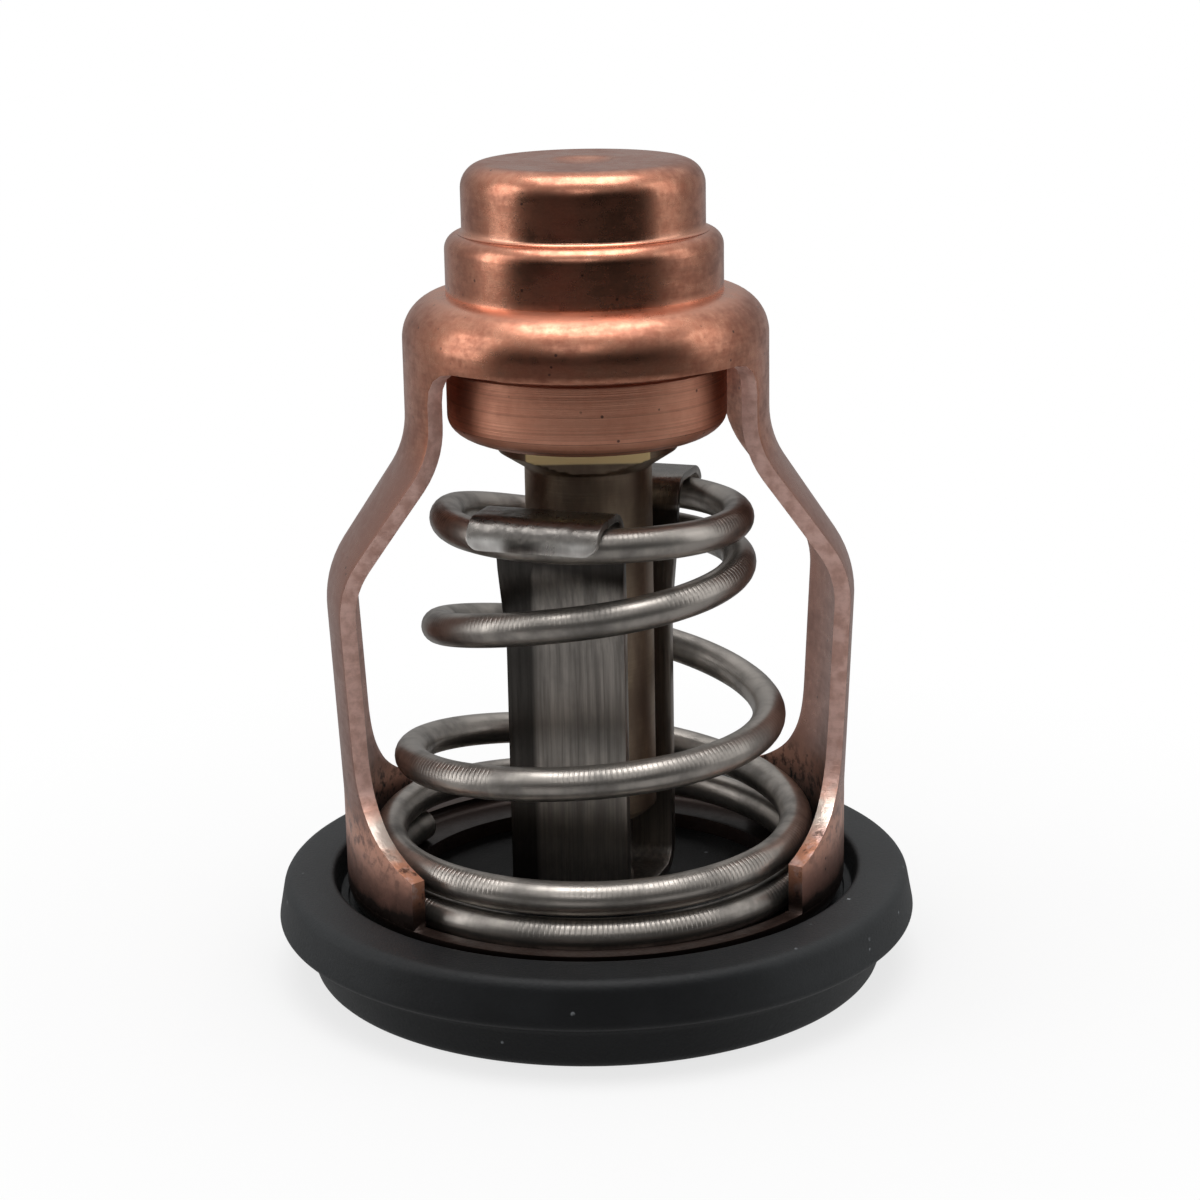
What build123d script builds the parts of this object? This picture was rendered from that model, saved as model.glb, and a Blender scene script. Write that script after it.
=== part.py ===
"""Wax engine thermostat with a copper frame, a conical spring and a rubber sealing ring.

Millimetres, +Z up. The origin is the centre of the sealing ring's underside, on the valve axis.
The frame's two arms stand at +X and -X. The valve opens downwards, away from the wax element.
"""
from build123d import *
from math import cos, radians, sin
import os

os.makedirs("parts", exist_ok=True)

# ---------------------------------------------------------------- driving dimensions
# Drawn copper frame
SHEET = 0.85              # sheet thickness
RING_RADIUS = 9.65        # outside of the top ring and its skirt
RING_TOP = 37.25          # crest of the top ring
RING_ROUND = 2.3          # outer rounding of the top ring
SKIRT_EDGE = 34.1         # lower edge of the skirt, the top of both windows
SHOULDER_TOP = 29.4       # corner where the arms leave the straight skirt line
SHOULDER_LOW = 22.5       # corner where the arms reach their widest
SHOULDER_ROUND = 5.4      # bend radius of both corners
BELLY_RADIUS = 14.25      # widest outside radius of the arms
WALL_RADIUS = 13.7        # outside radius of the base wall
WALL_KINK = 10.3          # height where the arms run into the base wall
SEAT_TOP = 4.7            # upper face of the seat flange, which carries the spring
SEAT_CORNER = 1.4         # outer rounding between base wall and seat flange
SEAT_BORE = 10.4          # radius of the valve opening in the seat flange
RIM_TOP = 5.35            # height of the base wall between the feet
ARM_HALF_WIDTH = 4.6      # half the width of an arm
WINDOW_ROUND = 1.8        # corner rounding of the windows under the skirt
FOOT_HALF_WIDTH = 9.15    # half the chord of a foot
FOOT_TIP = 7.95           # height of a foot at its two ends
FOOT_START = 13.9         # height where an arm's edge begins to spread
FOOT_PULLS = ((4.6, 10.8), (6.0, 9.6))  # control points of the curve from arm to foot tip
FRAME_TURN = 4.1          # turn of the frame about the valve axis, degrees

# Wax element
CUP_CAP_RADIUS = 6.38     # upper, smaller cylinder of the cup
CUP_TOP = 44.0
CUP_TOP_ROUND = 1.3
CUP_SHOULDER = 40.4       # foot of the upper cylinder
CUP_RADIUS = 7.3          # lower cylinder, a press fit in the frame's hole
CUP_SHOULDER_ROUND = 0.85
CRIMP_RADIUS = 7.42       # crimped end, below the frame
CRIMP_TOP = 33.4
CRIMP_BOTTOM = 29.5
CRIMP_LIP_RADIUS = 5.3    # inner edge of the curled lip
CRIMP_WALL = 0.9
CRIMP_ROUND = 1.3         # height of the curled lip's outer rounding
DIMPLE_RADIUS = 1.9       # shallow dimple in the cap
DIMPLE_DEPTH = 0.3
WAX_RADIUS = 5.2
WAX_TOP = 42.8
WAX_BOTTOM = 32.4
DIAPHRAGM_THICKNESS = 1.0

# Brass guide and what slides in it
GUIDE_FLANGE_RADIUS = 6.5
GUIDE_COLLAR_RADIUS = 4.8
GUIDE_COLLAR_BOTTOM = 28.85
GUIDE_FLAT = 3.6          # distance from the axis to the two flats milled on the collar
GUIDE_NECK = 27.95        # height where the collar's cone runs into the stem
GUIDE_RADIUS = 3.4
GUIDE_BOTTOM = 8.6
GUIDE_CHAMFER = 0.4
PLUG_MOUTH_RADIUS = 3.2   # wide end of the rubber plug under the diaphragm
PLUG_CONE = 2.0           # height of the plug's cone
PISTON_RADIUS = 2.0
PISTON_CLEARANCE = 0.05   # radial running fit of the piston in the guide
PISTON_TOP = 22.0
PISTON_ROUND = 0.3
CHAFE_DISC = 0.8          # thickness of the disc between plug and piston

# Valve, carried by the strap
VALVE_RADIUS = 11.2
SEAL_THICKNESS = 0.35
PLATE_THICKNESS = 0.45
SEAT_GAP = 0.02           # clearance between seal and seat when shut
RIVET_RADIUS = 1.0
RIVET_HEAD_RADIUS = 2.1
RIVET_HEAD = 0.5
RIVET_SINK = 0.3          # depth of the countersunk lower head

# U-shaped strap
STRAP_SHEET = 0.6
STRAP_TURN = -19.0        # turn of the strap about the valve axis, degrees
STRAP_INSIDE = 3.7        # distance from the axis to the inner face of a limb
STRAP_WIDTH = 6.6
HOOK_WIDTH = 7.1
STRAP_WIDENS_FROM = 19.0
STRAP_WIDENS_TO = 24.6
STRAP_BEND = 1.1
STRAP_SPLAY = 1.1         # how far a limb leans outwards from where it widens to its hook
STRAP_EASE = 12.0         # bend radius where the lean begins
HOOK_CLEARANCE = 0.12     # gap between a hook and the wire that it wraps
HOOK_DROP = 1.3           # how far the hook's tab reaches down from the underside of its top
HOOK_TURNS = (1691, 1871)  # spring's turn angle under the front and the back hook

# Conical spring: wire radius, then (turn in degrees, mean radius, height of the wire's middle)
WIRE_RADIUS = 0.9
SPRING_STATIONS = (
    (150, 11.45, 0.0),
    (270, 11.45, 0.0),
    (360, 11.40, 0.25),
    (450, 11.32, 1.10),
    (520, 11.27, 1.90),
    (630, 11.22, 1.93),
    (720, 11.05, 2.35),
    (810, 10.50, 3.95),
    (900, 10.00, 6.25),
    (990, 9.80, 7.75),
    (1080, 9.60, 8.45),
    (1170, 9.00, 10.70),
    (1260, 8.30, 13.50),
    (1350, 8.05, 15.80),
    (1440, 8.05, 16.90),
    (1520, 7.85, 17.25),
    (1620, 7.65, 19.60),
    (1710, 7.80, 19.70),
    (1800, 7.95, 19.35),
    (1875, 7.85, 19.20),
)
STATION_STEP = 30         # degrees between the points of the spring's centre line

# Rubber sealing ring
GASKET_LIP_REACH = 17.56  # radius of the lip's corner, which its rounding brings to 17.5
GASKET_LIP_HEIGHT = 3.0
GASKET_LIP_ROUND = 0.4
GASKET_BODY_RADIUS = 15.7
GASKET_FOOT_EASE = 0.4    # chamfer of the underside's outer edge
GASKET_NOTCH = 2.35       # height of the notch under the lip
GASKET_CREST_RADIUS = 17.1  # outer edge of the top face
GASKET_CREST_HEIGHT = 5.4
GASKET_CREST_ROUND = 0.7
GASKET_TOP = 5.5          # inner edge of the top face
GASKET_MOUTH_RADIUS = 14.45
GASKET_RECESS = 4.1       # floor of the groove around the base wall
GASKET_BORE = 12.0
EASE = 0.3                # general rounding of rubber edges

# ---------------------------------------------------------------- derived sizes
SEAT_UNDERSIDE = SEAT_TOP - SHEET
SEAL_TOP = SEAT_UNDERSIDE - SEAT_GAP
PLATE_TOP = SEAL_TOP - SEAL_THICKNESS
PLATE_BOTTOM = PLATE_TOP - PLATE_THICKNESS
BRIDGE_TOP = SEAL_TOP + STRAP_SHEET
RIVET_TOP = BRIDGE_TOP + RIVET_HEAD
COIL_FLOOR = SEAT_TOP + WIRE_RADIUS
HOOK_BEND = WIRE_RADIUS + HOOK_CLEARANCE + STRAP_SHEET  # a hook's outer bend, concentric with the wire
FLANGE_BOTTOM = CRIMP_BOTTOM + CRIMP_WALL
FLANGE_TOP = WAX_BOTTOM - DIAPHRAGM_THICKNESS
PLUG_BOTTOM = PISTON_TOP + CHAFE_DISC
DIMPLE_BALL = (DIMPLE_RADIUS**2 + DIMPLE_DEPTH**2) / (2 * DIMPLE_DEPTH)
BORE_RADIUS = PISTON_RADIUS + PISTON_CLEARANCE
WHOLE_WIDTH = 2 * GASKET_LIP_REACH
ON_FLOOR = (Align.CENTER, Align.CENTER, Align.MIN)
PROFILE = Plane.XZ        # half-sections are drawn here: first axis is radius, second is height


def side_view(turn):
    """The upright plane through the axis that is seen along X, turned about the axis."""
    across = (-sin(radians(turn)), cos(radians(turn)), 0)
    towards = (cos(radians(turn)), sin(radians(turn)), 0)
    return Plane(origin=(0, 0, 0), x_dir=across, z_dir=towards)


def front_view(turn):
    """The upright plane through the axis that is seen along Y, turned about the axis."""
    across = (cos(radians(turn)), sin(radians(turn)), 0)
    towards = (sin(radians(turn)), -cos(radians(turn)), 0)
    return Plane(origin=(0, 0, 0), x_dir=across, z_dir=towards)


def spring_point(turn):
    """Middle of the wire at a turn angle: radius from the axis and height, through the stations."""
    radius = monotone(turn, [(a, r) for a, r, _ in SPRING_STATIONS])
    height = monotone(turn, [(a, h) for a, _, h in SPRING_STATIONS])
    return radius, COIL_FLOOR + height


def monotone(where, knots):
    """Cubic Hermite value through the knots, with slopes that never overshoot them."""
    steps = list(zip(knots, knots[1:]))
    slopes = [(v1 - v0) / (a1 - a0) for (a0, v0), (a1, v1) in steps]
    inner_slopes = [
        0 if left * right <= 0 else 2 * left * right / (left + right)
        for left, right in zip(slopes, slopes[1:])
    ]
    tangents = [slopes[0], *inner_slopes, slopes[-1]]
    span = max(i for i, (start, _) in enumerate(steps) if where >= start[0])
    (a0, v0), (a1, v1) = steps[span]
    width = a1 - a0
    t = (where - a0) / width
    return (
        (2 * t**3 - 3 * t**2 + 1) * v0
        + (t**3 - 2 * t**2 + t) * width * tangents[span]
        + (3 * t**2 - 2 * t**3) * v1
        + (t**3 - t**2) * width * tangents[span + 1]
    )


# ---------------------------------------------------------------- drawn frame
with BuildPart() as frame:
    # Half-section of the blank once drawn: top ring, skirt, arms, base wall and seat flange.
    with BuildSketch(PROFILE):
        with BuildLine():
            outside = FilletPolyline(
                (CUP_RADIUS, RING_TOP),
                (RING_RADIUS, RING_TOP),
                (RING_RADIUS, SHOULDER_TOP),
                (BELLY_RADIUS, SHOULDER_LOW),
                (WALL_RADIUS, WALL_KINK),
                (WALL_RADIUS, SEAT_UNDERSIDE),
                (SEAT_BORE, SEAT_UNDERSIDE),
                radius=(RING_ROUND, SHOULDER_ROUND, SHOULDER_ROUND, SHOULDER_ROUND, SEAT_CORNER),
            )
            offset(outside, amount=SHEET, side=Side.RIGHT)
        make_face()
    revolve(axis=Axis.Z)
    # What the windows leave: the ring, the two arms with their spreading feet, the low rim.
    with BuildSketch(side_view(FRAME_TURN)):
        with Locations((0, (RING_TOP + SKIRT_EDGE) / 2)):
            Rectangle(WHOLE_WIDTH, RING_TOP - SKIRT_EDGE)
        with BuildLine():
            arm_edge = Polyline(
                (0, RING_TOP),
                (ARM_HALF_WIDTH + WINDOW_ROUND, RING_TOP),
                (ARM_HALF_WIDTH + WINDOW_ROUND, SKIRT_EDGE),
            )
            corner = RadiusArc(
                arm_edge @ 1,
                (ARM_HALF_WIDTH, SKIRT_EDGE - WINDOW_ROUND),
                -WINDOW_ROUND,
            )
            limb = Line(corner @ 1, (ARM_HALF_WIDTH, FOOT_START))
            foot = Bezier(limb @ 1, *FOOT_PULLS, (FOOT_HALF_WIDTH, FOOT_TIP))
            Polyline(foot @ 1, (FOOT_HALF_WIDTH, 0), (0, 0), (0, RING_TOP))
        make_face()
        mirror(about=Plane.YZ)
        with Locations((0, RIM_TOP / 2)):
            Rectangle(WHOLE_WIDTH, RIM_TOP)
    extrude(amount=WHOLE_WIDTH, both=True, mode=Mode.INTERSECT)
frame.part.label = "frame"
export_step(frame.part, "parts/frame.step")


# ---------------------------------------------------------------- wax element
with BuildPart() as element_cup:
    with BuildSketch(PROFILE):
        with BuildLine():
            Polyline(
                (0, CUP_TOP),
                (CUP_CAP_RADIUS, CUP_TOP),
                (CUP_CAP_RADIUS, CUP_SHOULDER),
                (CUP_RADIUS, CUP_SHOULDER),
                (CUP_RADIUS, CRIMP_TOP + CRIMP_RADIUS - CUP_RADIUS),
                (CRIMP_RADIUS, CRIMP_TOP),
                (CRIMP_RADIUS, CRIMP_BOTTOM + CRIMP_ROUND),
            )
            curl = EllipticalCenterArc(
                (CRIMP_LIP_RADIUS, CRIMP_BOTTOM + CRIMP_ROUND),
                CRIMP_RADIUS - CRIMP_LIP_RADIUS,
                CRIMP_ROUND,
                start_angle=270,
                arc_size=90,
            )
            Polyline(
                curl @ 0,
                (CRIMP_LIP_RADIUS, FLANGE_BOTTOM),
                (GUIDE_FLANGE_RADIUS, FLANGE_BOTTOM),
                (GUIDE_FLANGE_RADIUS, WAX_BOTTOM),
                (WAX_RADIUS, WAX_BOTTOM),
                (WAX_RADIUS, WAX_TOP),
                (0, WAX_TOP),
                (0, CUP_TOP),
            )
        make_face()
    revolve(axis=Axis.Z)
    top_edge = element_cup.edges().filter_by(GeomType.CIRCLE).group_by(Axis.Z)[-1]
    fillet(top_edge, radius=CUP_TOP_ROUND)
    shoulder_edge = (
        element_cup.edges()
        .filter_by(GeomType.CIRCLE)
        .filter_by_position(Axis.Z, CUP_SHOULDER - EASE, CUP_SHOULDER + EASE)
        .sort_by(SortBy.RADIUS)[-1]
    )
    fillet(shoulder_edge, radius=CUP_SHOULDER_ROUND)
    with Locations((0, 0, CUP_TOP + DIMPLE_BALL - DIMPLE_DEPTH)):
        Sphere(DIMPLE_BALL, mode=Mode.SUBTRACT)
element_cup.part.label = "element_cup"
export_step(element_cup.part, "parts/element_cup.step")

with BuildPart() as wax_charge:
    with Locations((0, 0, WAX_BOTTOM)):
        Cylinder(WAX_RADIUS, WAX_TOP - WAX_BOTTOM, align=ON_FLOOR)
wax_charge.part.label = "wax_charge"
export_step(wax_charge.part, "parts/wax_charge.step")

with BuildPart() as diaphragm:
    with Locations((0, 0, FLANGE_TOP)):
        Cylinder(GUIDE_FLANGE_RADIUS, DIAPHRAGM_THICKNESS, align=ON_FLOOR)
diaphragm.part.label = "diaphragm"
export_step(diaphragm.part, "parts/diaphragm.step")


# ---------------------------------------------------------------- guide and plunger
with BuildPart() as guide:
    with BuildSketch(PROFILE):
        with BuildLine():
            Polyline(
                (PLUG_MOUTH_RADIUS, FLANGE_TOP),
                (GUIDE_FLANGE_RADIUS, FLANGE_TOP),
                (GUIDE_FLANGE_RADIUS, FLANGE_BOTTOM),
                (GUIDE_COLLAR_RADIUS, FLANGE_BOTTOM),
                (GUIDE_COLLAR_RADIUS, GUIDE_COLLAR_BOTTOM),
                (GUIDE_RADIUS, GUIDE_NECK),
                (GUIDE_RADIUS, GUIDE_BOTTOM + GUIDE_CHAMFER),
                (GUIDE_RADIUS - GUIDE_CHAMFER, GUIDE_BOTTOM),
                (BORE_RADIUS, GUIDE_BOTTOM),
                (BORE_RADIUS, FLANGE_TOP - PLUG_CONE),
                (PLUG_MOUTH_RADIUS, FLANGE_TOP),
            )
        make_face()
    revolve(axis=Axis.Z)
    # Two flats milled across the collar.
    with BuildSketch(Plane.XY.offset(GUIDE_NECK)):
        Rectangle(2 * GUIDE_FLANGE_RADIUS, 2 * GUIDE_FLANGE_RADIUS)
        Rectangle(2 * GUIDE_FLANGE_RADIUS, 2 * GUIDE_FLAT, mode=Mode.SUBTRACT)
    extrude(amount=FLANGE_BOTTOM - GUIDE_NECK, mode=Mode.SUBTRACT)
guide.part.label = "guide"
export_step(guide.part, "parts/guide.step")

with BuildPart() as rubber_plug:
    with BuildSketch(PROFILE):
        with BuildLine():
            Polyline(
                (0, FLANGE_TOP),
                (PLUG_MOUTH_RADIUS, FLANGE_TOP),
                (BORE_RADIUS, FLANGE_TOP - PLUG_CONE),
                (BORE_RADIUS, PLUG_BOTTOM),
                (0, PLUG_BOTTOM),
                (0, FLANGE_TOP),
            )
        make_face()
    revolve(axis=Axis.Z)
rubber_plug.part.label = "rubber_plug"
export_step(rubber_plug.part, "parts/rubber_plug.step")

with BuildPart() as chafe_disc:
    with Locations((0, 0, PISTON_TOP)):
        Cylinder(PISTON_RADIUS, CHAFE_DISC - SEAT_GAP, align=ON_FLOOR)
chafe_disc.part.label = "chafe_disc"
export_step(chafe_disc.part, "parts/chafe_disc.step")

with BuildPart() as piston:
    with Locations((0, 0, RIVET_TOP)):
        Cylinder(PISTON_RADIUS, PISTON_TOP - RIVET_TOP, align=ON_FLOOR)
    fillet(piston.edges().filter_by(GeomType.CIRCLE).sort_by(Axis.Z)[0], radius=PISTON_ROUND)
piston.part.label = "piston"
export_step(piston.part, "parts/piston.step")


# ---------------------------------------------------------------- strap
front_wire, back_wire = (spring_point(turn) for turn in HOOK_TURNS)
front_reach, front_crown = (coordinate + HOOK_BEND for coordinate in front_wire)
back_reach, back_crown = (coordinate + HOOK_BEND for coordinate in back_wire)
with BuildPart() as strap:
    # The strip seen edge on: hook, limb, bridge, limb, hook, one sheet thickness everywhere.
    with BuildSketch(side_view(STRAP_TURN)):
        with BuildLine():
            inner = FilletPolyline(
                (-front_reach, front_crown - STRAP_SHEET - HOOK_DROP),
                (-front_reach, front_crown),
                (-STRAP_INSIDE - STRAP_SPLAY, front_crown),
                (-STRAP_INSIDE, STRAP_WIDENS_FROM),
                (-STRAP_INSIDE, BRIDGE_TOP),
                (STRAP_INSIDE, BRIDGE_TOP),
                (STRAP_INSIDE, STRAP_WIDENS_FROM),
                (STRAP_INSIDE + STRAP_SPLAY, back_crown),
                (back_reach, back_crown),
                (back_reach, back_crown - STRAP_SHEET - HOOK_DROP),
                radius=(
                    HOOK_BEND, HOOK_BEND, STRAP_EASE, STRAP_BEND,
                    STRAP_BEND, STRAP_EASE, HOOK_BEND, HOOK_BEND,
                ),
            )
            offset(inner, amount=STRAP_SHEET, side=Side.RIGHT)
        make_face()
    extrude(amount=HOOK_WIDTH, both=True)
    # The same strip seen from the front: it widens towards the hooks.
    with BuildSketch(front_view(STRAP_TURN)):
        with BuildLine():
            Polyline(
                (0, 0),
                (STRAP_WIDTH / 2, 0),
                (STRAP_WIDTH / 2, STRAP_WIDENS_FROM),
                (HOOK_WIDTH / 2, STRAP_WIDENS_TO),
                (HOOK_WIDTH / 2, CRIMP_BOTTOM),
                (0, CRIMP_BOTTOM),
                (0, 0),
            )
        make_face()
        mirror(about=Plane.YZ)
    extrude(amount=WHOLE_WIDTH, both=True, mode=Mode.INTERSECT)
    with Locations((0, 0, SEAL_TOP)):
        Cylinder(RIVET_RADIUS, STRAP_SHEET, align=ON_FLOOR, mode=Mode.SUBTRACT)
strap.part.label = "strap"
export_step(strap.part, "parts/strap.step")


# ---------------------------------------------------------------- valve
with BuildPart() as valve_seal:
    with BuildSketch(Plane.XY.offset(PLATE_TOP)):
        Circle(VALVE_RADIUS)
        Circle(RIVET_RADIUS, mode=Mode.SUBTRACT)
    extrude(amount=SEAL_THICKNESS)
valve_seal.part.label = "valve_seal"
export_step(valve_seal.part, "parts/valve_seal.step")

with BuildPart() as valve_plate:
    with BuildSketch(Plane.XY.offset(PLATE_BOTTOM)):
        Circle(VALVE_RADIUS)
    extrude(amount=PLATE_THICKNESS)
    with Locations(Location((0, 0, PLATE_BOTTOM), (180, 0, 0))):
        CounterSinkHole(RIVET_RADIUS, RIVET_RADIUS + RIVET_SINK, depth=PLATE_THICKNESS)
valve_plate.part.label = "valve_plate"
export_step(valve_plate.part, "parts/valve_plate.step")

with BuildPart() as rivet:
    with BuildSketch(PROFILE):
        with BuildLine():
            Polyline(
                (0, RIVET_TOP),
                (0, PLATE_BOTTOM),
                (RIVET_RADIUS + RIVET_SINK, PLATE_BOTTOM),
                (RIVET_RADIUS, PLATE_BOTTOM + RIVET_SINK),
                (RIVET_RADIUS, BRIDGE_TOP),
                (RIVET_HEAD_RADIUS, BRIDGE_TOP),
                (RIVET_HEAD_RADIUS, RIVET_TOP),
                (0, RIVET_TOP),
            )
        make_face()
    revolve(axis=Axis.Z)
    fillet(rivet.edges().filter_by(GeomType.CIRCLE).group_by(Axis.Z)[-1], radius=PISTON_ROUND)
rivet.part.label = "rivet"
export_step(rivet.part, "parts/rivet.step")


# ---------------------------------------------------------------- conical spring
first_turn = SPRING_STATIONS[0][0]
last_turn = SPRING_STATIONS[-1][0]
step_count = round((last_turn - first_turn) / STATION_STEP)
turns = [first_turn + i * (last_turn - first_turn) / step_count for i in range(step_count + 1)]
wire_line = []
for turn in turns:
    radius, height = spring_point(turn)
    wire_line.append((radius * cos(radians(turn)), radius * sin(radians(turn)), height))
with BuildPart() as spring:
    with BuildLine() as centre_line:
        Spline(wire_line)
    start = centre_line.line
    with BuildSketch(Plane(origin=start @ 0, z_dir=start % 0)):
        Circle(WIRE_RADIUS)
    sweep(path=centre_line.line)
spring.part.label = "spring"
export_step(spring.part, "parts/spring.step")


# ---------------------------------------------------------------- sealing ring
with BuildPart() as gasket_ring:
    with BuildSketch(PROFILE):
        with BuildLine():
            Polyline(
                (GASKET_BORE, 0),
                (GASKET_BODY_RADIUS - GASKET_FOOT_EASE, 0),
                (GASKET_BODY_RADIUS, GASKET_FOOT_EASE),
                (GASKET_BODY_RADIUS, GASKET_NOTCH),
            )
            crown = FilletPolyline(
                (GASKET_BODY_RADIUS, GASKET_NOTCH),
                (GASKET_LIP_REACH, GASKET_LIP_HEIGHT),
                (GASKET_CREST_RADIUS, GASKET_CREST_HEIGHT),
                (GASKET_MOUTH_RADIUS, GASKET_TOP),
                (GASKET_MOUTH_RADIUS - EASE, GASKET_RECESS),
                radius=(GASKET_LIP_ROUND, GASKET_CREST_ROUND, EASE),
            )
            Polyline(
                crown @ 1,
                (WALL_RADIUS, GASKET_RECESS),
                (WALL_RADIUS, SEAT_UNDERSIDE),
                (GASKET_BORE, SEAT_UNDERSIDE),
                (GASKET_BORE, 0),
            )
        make_face()
    revolve(axis=Axis.Z)
gasket_ring.part.label = "gasket_ring"
export_step(gasket_ring.part, "parts/gasket_ring.step")
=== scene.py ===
"""Looks of a wax engine thermostat: copper frame and cup, brass guide, steel strap and spring, rubber ring.

Every length in the dataclasses is in millimetres, in the part's own frame: +Z up along the valve axis,
origin at the centre of the sealing ring's underside. Meshes are scaled to metres as they are made.
"""
import logging
from dataclasses import dataclass
from enum import Enum
from math import asin, cos, pi, radians, sin
from typing import Any, Optional, Sequence, Union

import bmesh
import bpy
import numpy as np
from mathutils import Matrix, Vector


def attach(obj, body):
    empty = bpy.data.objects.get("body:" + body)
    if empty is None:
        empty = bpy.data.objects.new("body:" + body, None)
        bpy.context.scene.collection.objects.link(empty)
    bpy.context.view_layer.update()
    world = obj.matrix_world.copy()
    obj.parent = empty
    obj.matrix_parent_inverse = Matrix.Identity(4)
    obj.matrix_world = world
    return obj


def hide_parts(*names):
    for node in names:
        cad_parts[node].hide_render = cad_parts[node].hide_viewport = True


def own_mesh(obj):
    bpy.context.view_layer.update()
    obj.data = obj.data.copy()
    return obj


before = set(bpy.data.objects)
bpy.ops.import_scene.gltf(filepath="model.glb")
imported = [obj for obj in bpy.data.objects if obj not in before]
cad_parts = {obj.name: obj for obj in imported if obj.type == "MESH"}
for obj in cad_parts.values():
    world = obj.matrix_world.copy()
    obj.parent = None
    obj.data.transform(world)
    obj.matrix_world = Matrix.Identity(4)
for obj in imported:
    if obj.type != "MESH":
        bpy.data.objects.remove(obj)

LOG = logging.getLogger("thermostat")
MM = 0.001  # one millimetre in Blender's metres
WELD = 1e-7  # vertices nearer than this, in metres, are one
TOUCH = 1e-6  # heights and radii nearer than this, in millimetres, are the same
Colour = tuple[float, float, float]
Place = tuple[float, float, float]
WHITE: Colour = (1.0, 1.0, 1.0)


# ------------------------------------------------------------------ curves and surfaces
def rounded_path(
    corners: Sequence[tuple[float, float]], radii: Sequence[float], arc_points: int = 7
) -> np.ndarray:
    """Polyline in a plane whose inner corners are circular arcs.

    A corner with half-angle h between its two sides starts its arc at radius / tan(h) from the corner.
    The arc's points swing from the first tangent point to the second about the arc's centre.

    Args:
        corners: the sharp corners, first and last included.
        radii: one radius for each inner corner, 0 for a sharp one.
        arc_points: number of points on each arc.

    Returns:
        The points, one per row.
    """
    points = np.asarray(corners, float)
    made = [points[:1]]
    for corner, before, after, radius in zip(points[1:-1], points[:-2], points[2:], radii):
        if radius == 0:
            made.append(corner[None])
            continue
        back = (before - corner) / np.linalg.norm(before - corner)
        ahead = (after - corner) / np.linalg.norm(after - corner)
        half = np.arccos(np.clip(back @ ahead, -1, 1)) / 2
        middle = (back + ahead) / np.linalg.norm(back + ahead)
        centre = corner + middle * radius / np.sin(half)
        first = corner + back * radius / np.tan(half) - centre
        last = corner + ahead * radius / np.tan(half) - centre
        sweep = pi - 2 * half
        share = np.linspace(0, 1, arc_points)[:, None]
        arc = (np.sin((1 - share) * sweep) * first + np.sin(share * sweep) * last) / np.sin(sweep)
        made.append(centre + arc)
    made.append(points[-1:])
    return np.concatenate(made)


def refine(path: np.ndarray, step: float) -> np.ndarray:
    """Adds points to a path, evenly on each stretch, so that no stretch is longer than step.

    Args:
        path: the points, one per row.
        step: the longest stretch that may stay.

    Returns:
        The finer path.
    """
    lengths = np.linalg.norm(np.diff(path, axis=0), axis=1)
    counts = np.maximum(1, np.ceil(lengths / step)).astype(int)
    pieces = [
        a + (b - a) * np.linspace(0, 1, n, endpoint=False)[:, None]
        for a, b, n in zip(path[:-1], path[1:], counts)
    ]
    return np.concatenate([*pieces, path[-1:]])


def bezier(points: Sequence[tuple[float, float]], count: int) -> np.ndarray:
    """Cubic Bezier curve: the four points weighted by the Bernstein terms at even parameters.

    Args:
        points: start, two pulls and end.
        count: number of points on the curve.

    Returns:
        The points, one per row.
    """
    a, b, c, d = (np.asarray(p, float) for p in points)
    t = np.linspace(0, 1, count)[:, None]
    return (1 - t) ** 3 * a + 3 * t * (1 - t) ** 2 * b + 3 * t**2 * (1 - t) * c + t**3 * d


def grid_faces(rows: int, columns: int, wrap: bool) -> np.ndarray:
    """Quads of a grid of vertices that are stored row by row.

    Args:
        rows: number of rows.
        columns: number of columns.
        wrap: joins the last column to the first.

    Returns:
        Four vertex numbers per quad.
    """
    last = columns if wrap else columns - 1
    row, column = np.meshgrid(np.arange(rows - 1), np.arange(last), indexing="ij")
    beside = (column + 1) % columns
    quads = [row * columns + column, row * columns + beside]
    quads += [(row + 1) * columns + beside, (row + 1) * columns + column]
    return np.stack(quads, axis=-1).reshape(-1, 4)


def make_piece(
    name: str,
    points: np.ndarray,
    faces: np.ndarray,
    *materials: bpy.types.Material,
    uv: Optional[np.ndarray] = None,
    sharp: float = 35.0,
) -> bpy.types.Object:
    """Puts points in millimetres and quads into a new smooth-shaded object.

    Args:
        name: the object's name.
        points: one vertex per row, in millimetres.
        faces: four vertex numbers per row.
        materials: the object's materials, the first one for its faces.
        uv: one texture coordinate per vertex, if the piece's pattern follows its surface.
        sharp: edges that turn by more than this many degrees stay crisp.

    Returns:
        The object, linked to the scene.
    """
    mesh = bpy.data.meshes.new(name)
    mesh.from_pydata((points * MM).tolist(), [], faces.tolist())
    if uv is not None:
        layer = mesh.uv_layers.new(name="Along")
        corners = np.zeros(len(mesh.loops), np.int32)
        mesh.loops.foreach_get("vertex_index", corners)
        layer.data.foreach_set("uv", uv[corners].astype(np.float32).ravel())
    tidy_mesh(mesh)
    mesh.shade_smooth()
    mesh.set_sharp_from_angle(angle=radians(sharp))
    for material in materials:
        mesh.materials.append(material)
    piece = bpy.data.objects.new(name, mesh)
    bpy.context.scene.collection.objects.link(piece)
    return piece


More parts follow.
